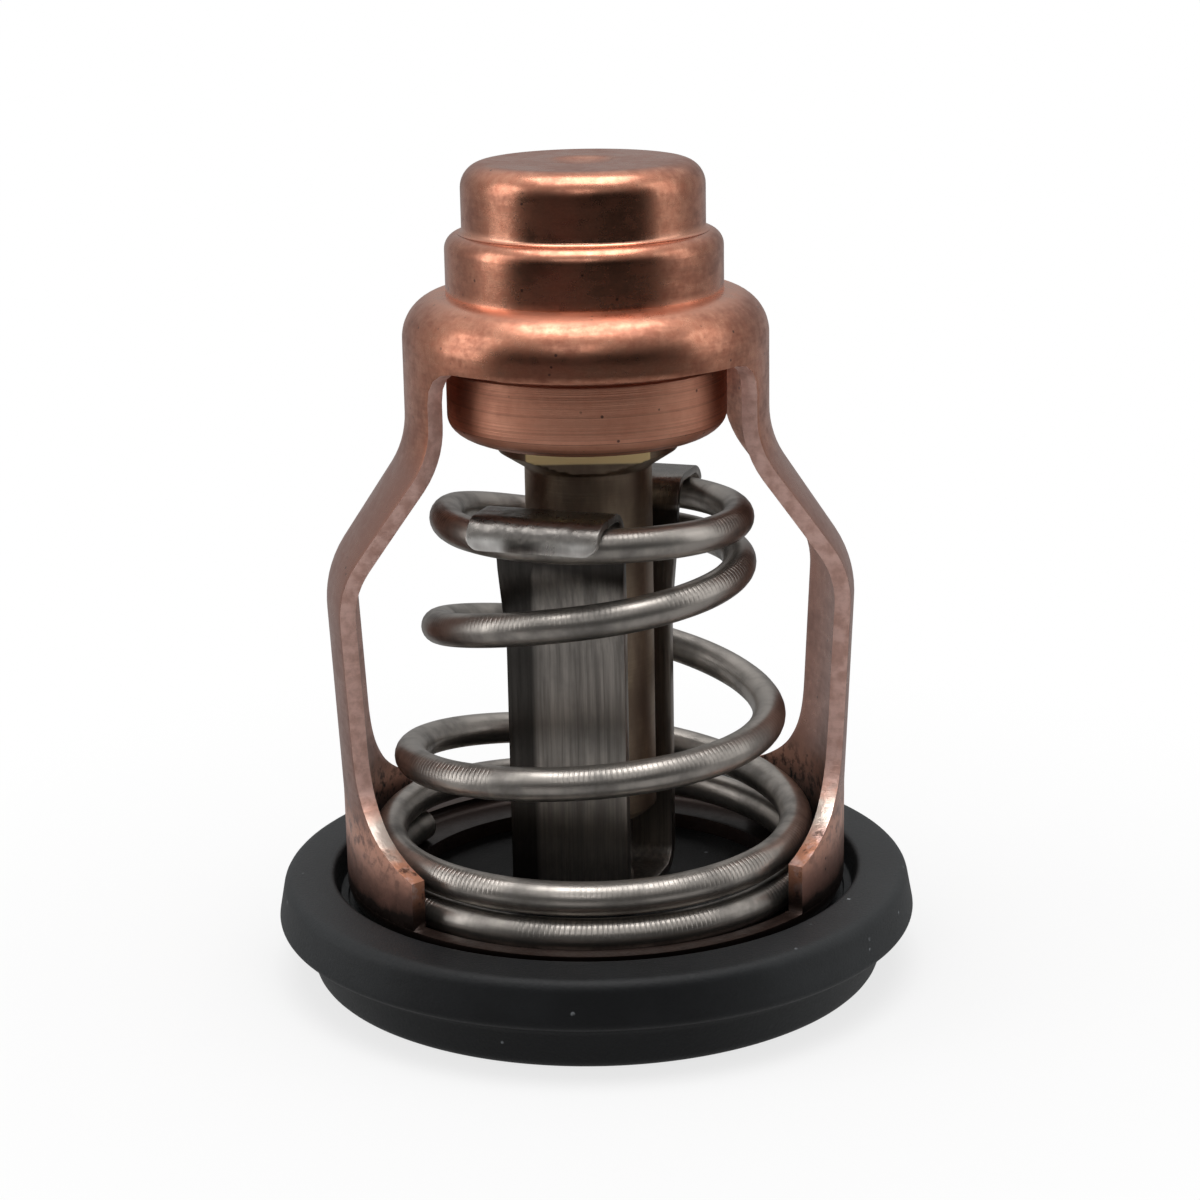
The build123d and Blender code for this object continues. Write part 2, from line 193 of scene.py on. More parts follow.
def tidy_mesh(mesh: bpy.types.Mesh) -> None:
    """Welds double vertices, drops collapsed faces and turns all faces outwards.

    Args:
        mesh: the mesh, changed in place.
    """
    work = bmesh.new()
    work.from_mesh(mesh)
    bmesh.ops.remove_doubles(work, verts=work.verts, dist=WELD)
    bmesh.ops.dissolve_degenerate(work, edges=work.edges, dist=WELD)
    bmesh.ops.recalc_face_normals(work, faces=work.faces)
    work.to_mesh(mesh)
    work.free()


def lathe(
    name: str, profile: np.ndarray, columns: int, material: bpy.types.Material
) -> bpy.types.Object:
    """Surface of revolution: x = r cos a, y = r sin a, z as in the profile, for a over a full turn.

    Args:
        name: the object's name.
        profile: radius and height of each ring of vertices; a closed section repeats its first point.
        columns: number of vertices round each ring.
        material: the object's material.

    Returns:
        The object.
    """
    angles = np.linspace(0, 2 * pi, columns, endpoint=False)
    faces = grid_faces(len(profile), columns, wrap=True)
    return make_piece(name, spin(profile, angles), faces, material)


def spin(profile: np.ndarray, angles: np.ndarray) -> np.ndarray:
    """Carries a profile round the axis: x = r cos a, y = r sin a, z as in the profile.

    Args:
        profile: radius and height of each ring.
        angles: the angles of the points on each ring, in radians.

    Returns:
        The points, ring by ring, one per row.
    """
    radius, height = profile[:, :1], profile[:, 1:]
    grid = [radius * np.cos(angles), radius * np.sin(angles), height + 0 * angles]
    return np.stack(grid, axis=-1).reshape(-1, 3)


def turned(points: np.ndarray, degrees: float) -> np.ndarray:
    """Points turned about the valve axis."""
    c, s = cos(radians(degrees)), sin(radians(degrees))
    return points @ np.array([[c, s, 0], [-s, c, 0], [0, 0, 1]])


def thicken(piece: bpy.types.Object, sheet: float, edge: float) -> None:
    """Gives a surface its sheet thickness behind it, and rounds the sheared edges.

    Args:
        piece: the surface, facing away from the side that gets the thickness.
        sheet: the thickness in millimetres.
        edge: the rounding in millimetres.
    """
    solid = piece.modifiers.new("Sheet", "SOLIDIFY")
    solid.thickness = sheet * MM
    solid.offset = -1.0
    solid.use_even_offset = True
    bevel = piece.modifiers.new("Edges", "BEVEL")
    bevel.width = edge * MM
    bevel.segments = 3
    bevel.limit_method = "ANGLE"
    bevel.angle_limit = radians(50)


# ------------------------------------------------------------------ shader maths
@dataclass(frozen=True)
class Signal:
    """A number that varies over a surface: wraps a node's output so that formulas add Math nodes."""

    bench: "Bench"
    socket: bpy.types.NodeSocket

    def __add__(self, other: "Value") -> "Signal":
        """Sum."""
        return self.bench.math("ADD", self, other)

    def __radd__(self, other: "Value") -> "Signal":
        """Sum, number first."""
        return self.bench.math("ADD", other, self)

    def __sub__(self, other: "Value") -> "Signal":
        """Difference."""
        return self.bench.math("SUBTRACT", self, other)

    def __rsub__(self, other: "Value") -> "Signal":
        """Difference, number first."""
        return self.bench.math("SUBTRACT", other, self)

    def __mul__(self, other: "Value") -> "Signal":
        """Product."""
        return self.bench.math("MULTIPLY", self, other)

    def __rmul__(self, other: "Value") -> "Signal":
        """Product, number first."""
        return self.bench.math("MULTIPLY", other, self)

    def __truediv__(self, other: "Value") -> "Signal":
        """Quotient."""
        return self.bench.math("DIVIDE", self, other)

    def clamped(self) -> "Signal":
        """Kept between 0 and 1."""
        return self.bench.math("MINIMUM", self.bench.math("MAXIMUM", self, 0.0), 1.0)

    def step(self, low: float, high: float) -> "Signal":
        """Smooth step between two levels.

        Args:
            low: the level where the step is 0; it may be the larger one, which turns the step round.
            high: the level where the step is 1.

        Returns:
            The step, kept between 0 and 1.
        """
        settings = {"interpolation_type": "SMOOTHSTEP", "clamp": True}
        return self.bench.node(
            "ShaderNodeMapRange",
            settings,
            {"Value": self, "From Min": low, "From Max": high, "To Min": 0.0, "To Max": 1.0},
        )

    def above(self, level: float, blur: float) -> "Signal":
        """1 above a level and 0 below it, with a soft change as wide as blur on each side."""
        return self.step(level - blur, level + blur)

    def below(self, level: float, blur: float) -> "Signal":
        """1 below a level and 0 above it, with a soft change as wide as blur on each side."""
        return self.step(level + blur, level - blur)

    def band(self, centre: float, width: float) -> "Signal":
        """1 at centre, falling smoothly to 0 at width away on both sides."""
        away = self.bench.math("ABSOLUTE", self - centre)
        return away.step(width, 0.0)


Value = Union[Signal, float]


class Bench:
    """Builds one tree of shader nodes."""

    def __init__(self, tree: bpy.types.NodeTree) -> None:
        """Starts with an empty tree.

        Args:
            tree: the node tree of a material or a world.
        """
        self.tree = tree
        self.tree.nodes.clear()

    def node(
        self,
        kind: str,
        settings: Optional[dict[str, Any]] = None,
        inputs: Optional[dict[Union[str, int], Any]] = None,
        output: Union[str, int] = 0,
    ) -> Signal:
        """Adds a node, sets it up and feeds it.

        Args:
            kind: the node's type.
            settings: properties of the node, set before its sockets.
            inputs: values or signals by socket name or number.
            output: name or number of the output that is returned.

        Returns:
            That output.
        """
        made = self.tree.nodes.new(kind)
        for key, value in (settings or {}).items():
            setattr(made, key, value)
        for key, value in (inputs or {}).items():
            if isinstance(value, Signal):
                self.tree.links.new(value.socket, made.inputs[key])
            else:
                made.inputs[key].default_value = value
        return Signal(self, made.outputs[output])

    def math(self, operation: str, first: Value, second: Value = 0.0) -> Signal:
        """One Math node."""
        return self.node("ShaderNodeMath", {"operation": operation}, {0: first, 1: second})

    def vector(self, x: Value, y: Value, z: Value) -> Signal:
        """A vector of three numbers."""
        return self.node("ShaderNodeCombineXYZ", inputs={0: x, 1: y, 2: z})

    def part(self, vector: Signal, axis: str) -> Signal:
        """One number of a vector: X, Y or Z."""
        return self.node("ShaderNodeSeparateXYZ", inputs={0: vector}, output=axis)

    def length(self, vector: Signal) -> Signal:
        """Length of a vector."""
        return self.node("ShaderNodeVectorMath", {"operation": "LENGTH"}, {0: vector}, "Value")

    def noise(
        self, where: Signal, scale: float, detail: float = 3.0, roughness: float = 0.55
    ) -> Signal:
        """Fractal noise from 0 to 1."""
        values = {"Vector": where, "Scale": scale, "Detail": detail, "Roughness": roughness}
        return self.node("ShaderNodeTexNoise", inputs=values)

    def cells(self, where: Signal, scale: float) -> Signal:
        """Distance to the nearest of many scattered points."""
        return self.node("ShaderNodeTexVoronoi", inputs={"Vector": where, "Scale": scale})

    def blend(self, share: Value, first: Union[Signal, Colour], second: Colour) -> Signal:
        """Mixes two colours, which are inputs 6 and 7 and output 2 of the Mix node.

        Args:
            share: 0 gives the first colour and 1 the second.
            first: the first colour.
            second: the second colour.

        Returns:
            The mixed colour.
        """
        first = (*first, 1.0) if isinstance(first, tuple) else first
        inputs = {0: share, 6: first, 7: (*second, 1.0)}
        return self.node("ShaderNodeMix", {"data_type": "RGBA"}, inputs, 2)

    def coats(self, base: Signal, *layers: tuple[Signal, float, Colour]) -> Signal:
        """Covers a colour with one coat after another.

        Args:
            base: the colour underneath.
            layers: for each coat, where it lies, its strength from 0 to 1, and its colour.

        Returns:
            The colour on top.
        """
        for where, strength, colour in layers:
            base = self.blend(where * strength, base, colour)
        return base

    def bump(self, height: Signal, depth: float) -> Signal:
        """Normal that is tilted by a height from 0 to 1 that stands for depth millimetres."""
        values = {"Height": height, "Distance": depth * MM, "Strength": 1.0}
        return self.node("ShaderNodeBump", inputs=values)

    def close(self, kind: str, shader: Signal) -> None:
        """Joins a shader to an output node of that kind."""
        made = self.tree.nodes.new(kind)
        self.tree.links.new(shader.socket, made.inputs["Surface"])


class Surface(Bench):
    """A material, with the coordinates in millimetres that its formulas read."""

    def __init__(self, name: str) -> None:
        """Starts an empty material.

        Args:
            name: the material's name.
        """
        self.material = bpy.data.materials.new(name)
        self.material.use_nodes = True
        super().__init__(self.material.node_tree)
        self.place = self.node("ShaderNodeTexCoord", output="Object")
        self.x, self.y, self.z = (self.part(self.place, axis) / MM for axis in "XYZ")
        self.radius = self.length(self.vector(self.x, self.y, 0.0))

    def stretched(self, across: float = 1.0, up: float = 1.0) -> Signal:
        """Object coordinates in millimetres, times a factor across the valve axis and one along it."""
        inputs = {0: self.place, 1: (across / MM, across / MM, up / MM)}
        return self.node("ShaderNodeVectorMath", {"operation": "MULTIPLY"}, inputs)

    def pattern(
        self, scale: float, detail: float = 3.0, roughness: float = 0.55, **stretch: float
    ) -> Signal:
        """Fractal noise in the piece's own millimetres, stretched by the factors across and up."""
        return self.noise(self.stretched(**stretch), scale, detail, roughness)

    def finish(self, **sockets: Any) -> bpy.types.Material:
        """Closes the material with a Principled shader.

        Args:
            sockets: the shader's inputs, with underscores for the spaces in their names.

        Returns:
            The material.
        """
        inputs = {key.replace("_", " "): value for key, value in sockets.items()}
        self.close("ShaderNodeOutputMaterial", self.node("ShaderNodeBsdfPrincipled", inputs=inputs))
        return self.material


# ------------------------------------------------------------------ finishes
@dataclass(frozen=True)
class Copper:
    """Drawn copper gone brown: cloudy tarnish, dark specks, bare pink metal in creases, painted shade
    inside.
    """

    name: str
    bright: Colour = (0.76, 0.355, 0.228)
    warm: Colour = (0.60, 0.225, 0.135)
    tarnish: Colour = (0.21, 0.080, 0.052)
    fresh: Colour = (0.93, 0.47, 0.32)
    pink: Colour = (0.44, 0.255, 0.215)
    speck: Colour = (0.06, 0.04, 0.035)
    # near-black of the painted shade inside and at the foot of the wall, and of the dark patches
    shade_and_patch_colour: Colour = (0.022, 0.016, 0.014)
    rough: float = 0.21
    film: float = 0.25
    film_rough: float = 0.25
    relief: float = 0.03
    arms_top: float = 32.35
    arms_reach: float = 10.0
    foot_height: float = 8.9
    foot_blur: float = 2.4
    inside_shade_reach: float = 13.4
    inside_shade_top: float = 8.75
    dark_patch_top: float = 12.0
    wall_shade_top: float = 5.9
    wall_faint_shade_top: float = 7.0
    turned_share: float = 0.0
    turned_low: float = 29.55
    turned_high: float = 34.2
    creases: tuple[tuple[float, float], ...] = ((40.55, 0.35), (37.25, 0.45))

    def build(self) -> bpy.types.Material:
        """Makes the material.

        Tarnish grows where three noises add up. A speck shows where a point of scattered cells is near and
        a slow noise is high. Turning lines are a noise of height alone, kept to the crimped end. The arms
        are pinker, with bright spots of worn metal and a painted highlight on the feet. Painted shade
        darkens the inner faces low down, the seat with them, and the foot of the wall where the frame meets
        the rubber, and dark patches lie on the arms' lower ends. A thin clear film lies over it all.

        Returns:
            The material.
        """
        s = Surface(self.name)
        clouds = s.pattern(0.30, detail=4.0, roughness=0.6, up=1.4)
        mottle = s.pattern(1.7, detail=5.0, roughness=0.65)
        streaks = s.pattern(1.1, detail=4.0, roughness=0.6, across=0.5, up=3.0)
        wear = s.pattern(3.2, detail=6.0, roughness=0.7)
        lines = s.noise(s.vector(0.0, s.radius * 0.05, s.z), 5.5, detail=3.0, roughness=0.65)
        dull = (clouds * 0.7 + mottle * 0.25 + streaks * 0.3).step(0.50, 0.82)
        specks = s.cells(s.stretched(), 1.5).step(0.16, 0.07) * s.pattern(0.45).step(0.50, 0.60)
        turned = s.z.below(self.turned_high, 0.1) * s.z.above(self.turned_low, 0.15) * self.turned_share
        bare = sum((s.z.band(height, width) for height, width in self.creases), start=s.z * 0.0)
        arms = s.z.below(self.arms_top, 2.75) * s.radius.above(self.arms_reach, 0.4)
        # bright spots on the feet: worn metal with a painted highlight
        wear_and_highlight = s.z.band(self.foot_height, self.foot_blur) * arms * mottle.step(0.36, 0.54)
        # painted shade over the inner faces low down, the seat with them
        inside = s.radius.below(self.inside_shade_reach, 0.2) * s.z.below(self.inside_shade_top, 1.75)
        # painted shade at the foot of the wall, where the frame meets the rubber
        wall = s.z.below(self.wall_shade_top, 0.7) + s.z.below(self.wall_faint_shade_top, 2.0) * 0.35
        dark_patches = s.z.below(self.dark_patch_top, 4.0) * s.pattern(0.33, detail=4.0, up=0.7).step(0.42, 0.70)
        # painted shade and dark patches, lifted where the feet are worn bright
        shade_and_patch_mask = (inside + wall + dark_patches * 0.5).clamped() * (1.0 - wear_and_highlight * 0.7)
        base = s.coats(
            s.blend(mottle.step(0.2, 0.8), self.bright, self.warm),
            (dull, 0.65, self.tarnish),
            (arms, 0.6 * (1.0 - self.turned_share), self.pink),
            ((bare + wear_and_highlight * 0.8).clamped(), 0.7, self.fresh),
            (turned, 0.75, self.fresh),
            (lines.step(0.50, 0.66) * turned, 0.5, self.tarnish),
            (specks, 0.8, self.speck),
            (shade_and_patch_mask, 0.98, self.shade_and_patch_colour),
        )
        height = lines * turned * 1.4 + wear * 0.14 + clouds * 0.25 + arms * wear * 0.3
        rough = (mottle * 0.12 + dull * 0.14 + turned * 0.30 + shade_and_patch_mask * 0.2 + self.rough).clamped()
        return s.finish(
            Base_Color=base,
            Metallic=1.0 - wear_and_highlight * 0.4,
            Roughness=rough,
            Coat_Weight=self.film,
            Coat_Roughness=self.film_rough,
            Normal=s.bump(height, self.relief),
        )


@dataclass(frozen=True)
class ShearedCopper:
    """The sheet's cut edges: paler, rougher metal with marks across it, worn bright with a painted highlight
    on the feet.
    """

    name: str
    pale: Colour = (0.95, 0.63, 0.55)
    warm: Colour = (0.68, 0.40, 0.33)
    # colour of the bright spot on the feet: worn metal with a painted highlight
    wear_and_highlight: Colour = (1.0, 0.86, 0.76)
    orange: Colour = (0.78, 0.34, 0.20)
    # near-black of the dark patches on the feet and of the painted shade on the low rim
    shade_and_patch_colour: Colour = (0.03, 0.02, 0.017)
    rough: float = 0.42
    metal: float = 0.66
    relief: float = 0.06
    feet_top: float = 10.5
    spot_height: float = 9.8
    spot_blur: float = 1.3
    rim_top: float = 7.1

    def build(self) -> bpy.types.Material:
        """Makes the material.

        On the feet, a bright spot of worn metal with a painted highlight, whose height wavers with a noise,
        lies over patches of warmer metal, with dark patches in between. The feet's ends and the low rim are
        painted dark all over as shade, where the frame meets the rubber.

        Returns:
            The material.
        """
        s = Surface(self.name)
        mottle = s.pattern(1.3, detail=5.0, roughness=0.6)
        marks = s.pattern(1.2, detail=4.0, roughness=0.65, across=0.4, up=3.2)
        patches = s.pattern(0.8, detail=4.0, roughness=0.6)
        feet = s.z.below(self.feet_top, 1.5)
        # bright spot on the feet: worn metal with a painted highlight
        spot = (s.z + patches * 2.0 - 1.0).band(self.spot_height, self.spot_blur)
        base = s.coats(
            s.blend(mottle.step(0.35, 0.68), self.pale, self.warm),
            (marks.step(0.50, 0.72), 0.35, self.warm),
            (feet * patches.step(0.36, 0.52), 0.9, self.orange),
            (spot, 1.0, self.wear_and_highlight),
            # dark patches on the feet, between the bright spots
            (feet * mottle.step(0.54, 0.66) * (1.0 - spot), 0.8, self.shade_and_patch_colour),
            # painted shade on the low rim and the feet's ends, where the frame meets the rubber
            (s.z.below(self.rim_top, 1.2), 0.98, self.shade_and_patch_colour),
        )
        rough = (mottle * 0.14 + self.rough - feet * 0.10 - spot * 0.06).clamped()
        bump = s.bump(marks * 0.5 + mottle * 0.6 + feet * patches * 1.5, self.relief)
        return s.finish(Base_Color=base, Metallic=self.metal, Roughness=rough, Normal=bump)


class SteelForm(Enum):
    """What a steel piece is made from, which sets the direction of its marks."""

    WIRE = "wire"
    SHEET = "sheet"


@dataclass(frozen=True)
class Steel:
    """Stainless steel gone dull: neutral grey with a faint warm cast, and the marks of its making."""

    name: str
    form: SteelForm = SteelForm.SHEET
    colour: Colour = (0.50, 0.46, 0.42)
    dark: Colour = (0.16, 0.15, 0.14)
    shade: Colour = (0.035, 0.033, 0.031)
    polish_highlight: Colour = (0.88, 0.86, 0.83)
    # pale colour of the painted highlight on the polished hooks
    wire_metal: float = 0.94
    rough: float = 0.18
    relief: float = 0.03
    tick_rate: float = 24.0
    tick_side: float = 0.87
    polished_above: float = 24.6
    polished_below: float = 25.9
    shaded_above: float = 22.7
    margin: float = -3.05
    highlight_end: float = -4.4
    highlight_middle: float = -1.0
    highlight_width: float = 2.3

    def build(self) -> bpy.types.Material:
        """Makes the material for the piece's form."""
        return self.wire() if self.form is SteelForm.WIRE else self.sheet()

    def wire(self) -> bpy.types.Material:
        """Drawn wire, by the coordinates along it (u, in millimetres) and round it (v, a share of a turn).

        Faint lines run along the wire. Rows of short feed marks, a sine of u that a noise pushes to and
        fro, lie on its inner side, in the stretches where a slow noise is high.

        Returns:
            The material.
        """
        s = Surface(self.name)
        along = s.node("ShaderNodeUVMap", {"uv_map": "Along"})
        u, v = s.part(along, "X"), s.part(along, "Y")
        drift = s.noise(s.vector(u * 1.1, 0.0, 5.0), 1.0, detail=2.0) * 5.0
        wave = s.math("SINE", u * self.tick_rate + drift)
        worked = s.noise(s.vector(u * 0.10, 0.0, 3.0), 1.0, detail=1.0).step(0.46, 0.56)
        ticks = wave.step(0.0, 0.9) * v.band(self.tick_side, 0.14) * worked
        lines = s.noise(s.vector(u * 0.25, v * 16.0, 0.0), 1.0, detail=3.0, roughness=0.6)
        stains = s.pattern(0.4, detail=4.0, roughness=0.6).step(0.38, 0.72)
        base = s.blend(stains * 0.75, self.colour, self.dark)
        base = s.blend(ticks * 0.6, base, self.dark)
        rough = (lines * 0.14 + stains * 0.12 + self.rough).clamped()
        bump = s.bump(lines * 0.3 - ticks * 0.8, self.relief)
        return s.finish(Base_Color=base, Metallic=self.wire_metal, Roughness=rough, Normal=bump)

    def sheet(self) -> bpy.types.Material:
        """Rolled sheet: long grain up the strip and dull patches.

        On the hooks the metal is dented and polished, with a painted highlight brightest at their left end
        and round one place along x, and dark again on top. Below the hooks a painted shadow reaches down to
        a slanting line, and a margin along the strip's left edge is darkened the same way.

        Returns:
            The material.
        """
        s = Surface(self.name)
        grain = s.pattern(1.0, detail=4.0, roughness=0.65, across=4.5, up=0.14)
        broad = s.pattern(1.0, detail=3.0, roughness=0.6, across=1.3, up=0.07)
        stains = s.pattern(0.5, detail=4.0, roughness=0.6, up=0.6).step(0.40, 0.72)
        dents = s.pattern(0.5, detail=3.0, roughness=0.5)
        polished = s.z.above(self.polished_above, 0.2)
        top = s.z.above(self.polished_below, 0.25)
        margin = (s.x + broad * 0.4 - 0.2).below(self.margin, 0.15)
        slant = s.z + s.x * 0.15 + broad * 0.6 - 0.3
        shaded = (slant.above(self.shaded_above, 0.5) + margin).clamped() * (1.0 - polished)
        # painted highlight on the polished hooks, brightest at the left end and round one place along x
        bright = s.x.below(self.highlight_end, 0.5) + s.x.band(self.highlight_middle, self.highlight_width) * 0.9
        bright = (bright * (dents.step(0.30, 0.60) * 0.5 + 0.55)).clamped() * polished * (1.0 - top)
        base = s.coats(
            s.blend(grain.step(0.35, 0.68) * 0.5, self.colour, self.dark),
            (broad.step(0.45, 0.65), 0.4, self.dark),
            (stains, 0.4, self.dark),
            (shaded, 0.85, self.shade),
            (bright, 1.0, self.polish_highlight),
            (top, 0.85, self.dark),
        )
        rough = (grain * 0.2 + broad * 0.12 - polished * 0.08 + self.rough).clamped()
        height = (grain * 0.6 + broad * 0.4) * (1.0 - polished) + dents * polished * 5.0
        bump = s.bump(height, self.relief)
        # less metallic under the painted highlight, so that it catches more light
        return s.finish(Base_Color=base, Metallic=1.0 - bright * 0.75, Roughness=rough, Normal=bump)


@dataclass(frozen=True)
class Brass:
    """Turned brass gone dark brown, with bright metal and a painted highlight on the flats of its collar."""

    name: str
    # bright metal with a painted highlight, on the collar's flats
    bright: Colour = (1.0, 0.76, 0.37)
    dull: Colour = (0.36, 0.275, 0.21)
    lighter: Colour = (0.56, 0.45, 0.32)
    rough: float = 0.30
    relief: float = 0.02
    flat_low: float = 28.66
    flat_high: float = 29.75
    flat_reach: float = 3.535

    def build(self) -> bpy.types.Material:
        """Makes the material: the bright patch is where height and the distance to a flat both fit.

        Returns:
            The material.
        """
        s = Surface(self.name)
        lines = s.noise(s.vector(0.0, s.radius * 0.1, s.z), 6.0, detail=3.0, roughness=0.6)
        patches = s.pattern(0.9, detail=4.0, roughness=0.6, across=0.8, up=0.28)
        # flats of the collar: bright metal with a painted highlight, made less metallic to catch more light
        flats = s.math("ABSOLUTE", s.y).above(self.flat_reach, 0.035)
        flats = flats * s.z.above(self.flat_low, 0.06) * s.z.below(self.flat_high, 0.05)
        base = s.coats(
            s.blend(patches.step(0.40, 0.70) * 0.7, self.dull, self.lighter),
            (lines.step(0.4, 0.7), 0.3, self.dull),
            (flats, 0.9, self.bright),
        )
        rough = (lines * 0.2 + patches * 0.15 + self.rough).clamped()
        bump = s.bump(lines, self.relief)
        return s.finish(Base_Color=base, Metallic=1.0 - flats * 0.6, Roughness=rough, Normal=bump)


@dataclass(frozen=True)
class Rubber:
    """Moulded black rubber: matt, faintly blue, with a fine grain and tiny pale dust specks."""

    name: str
    colour: Colour = (0.0035, 0.0040, 0.0048)
    worn: Colour = (0.0070, 0.0080, 0.0092)
    # colour of the painted sheen towards the ring's sides
    side_sheen: Colour = (0.030, 0.033, 0.035)
    dust: Colour = (0.30, 0.32, 0.34)
    rough: float = 0.34
    gloss: float = 0.30
    relief: float = 0.03
    sheen_middle: float = -2.0
    sheen_from: float = 11.0
    sheen_blur: float = 6.0

    def build(self) -> bpy.types.Material:
        """Makes the material.

        A paler painted sheen grows with the distance along x from its middle. Dust sits where a point of
        scattered cells is near and a slow noise is high.

        Returns:
            The material.
        """
        s = Surface(self.name)
        grain = s.pattern(5.5, detail=5.0, roughness=0.7)
        broad = s.pattern(0.30, detail=3.0, roughness=0.5)
        dust = s.cells(s.stretched(), 0.8).step(0.12, 0.06) * s.pattern(0.55).step(0.52, 0.60)
        # painted sheen, paler with the distance along x from its middle
        side_sheen = s.math("ABSOLUTE", s.x - self.sheen_middle).above(self.sheen_from, self.sheen_blur)
        base = s.coats(
            s.blend(broad.step(0.35, 0.7) * 0.6 + grain * 0.2, self.colour, self.worn),
            ((side_sheen * (broad * 0.6 + 0.5)).clamped(), 1.0, self.side_sheen),
            (dust, 0.7, self.dust),
        )
        rough = (grain * 0.18 + broad * 0.12 + self.rough).clamped()
        bump = s.bump(grain + dust, self.relief)
        return s.finish(Base_Color=base, Roughness=rough, Specular_IOR_Level=self.gloss, Normal=bump)


@dataclass(frozen=True)
class Plain:
    """Plastic or wax of a hidden piece, with a soft mottle."""

    name: str
    light: Colour
    shade: Colour
    rough: float = 0.4
    relief: float = 0.03

    def build(self) -> bpy.types.Material:
        """Makes the material.

        Returns:
            The material.
        """
        s = Surface(self.name)
        mottle = s.pattern(1.2, detail=4.0, roughness=0.6)
        base = s.blend(mottle.step(0.3, 0.7), self.light, self.shade)
        bump = s.bump(mottle, self.relief)
        return s.finish(Base_Color=base, Roughness=mottle * 0.2 + self.rough, Normal=bump)


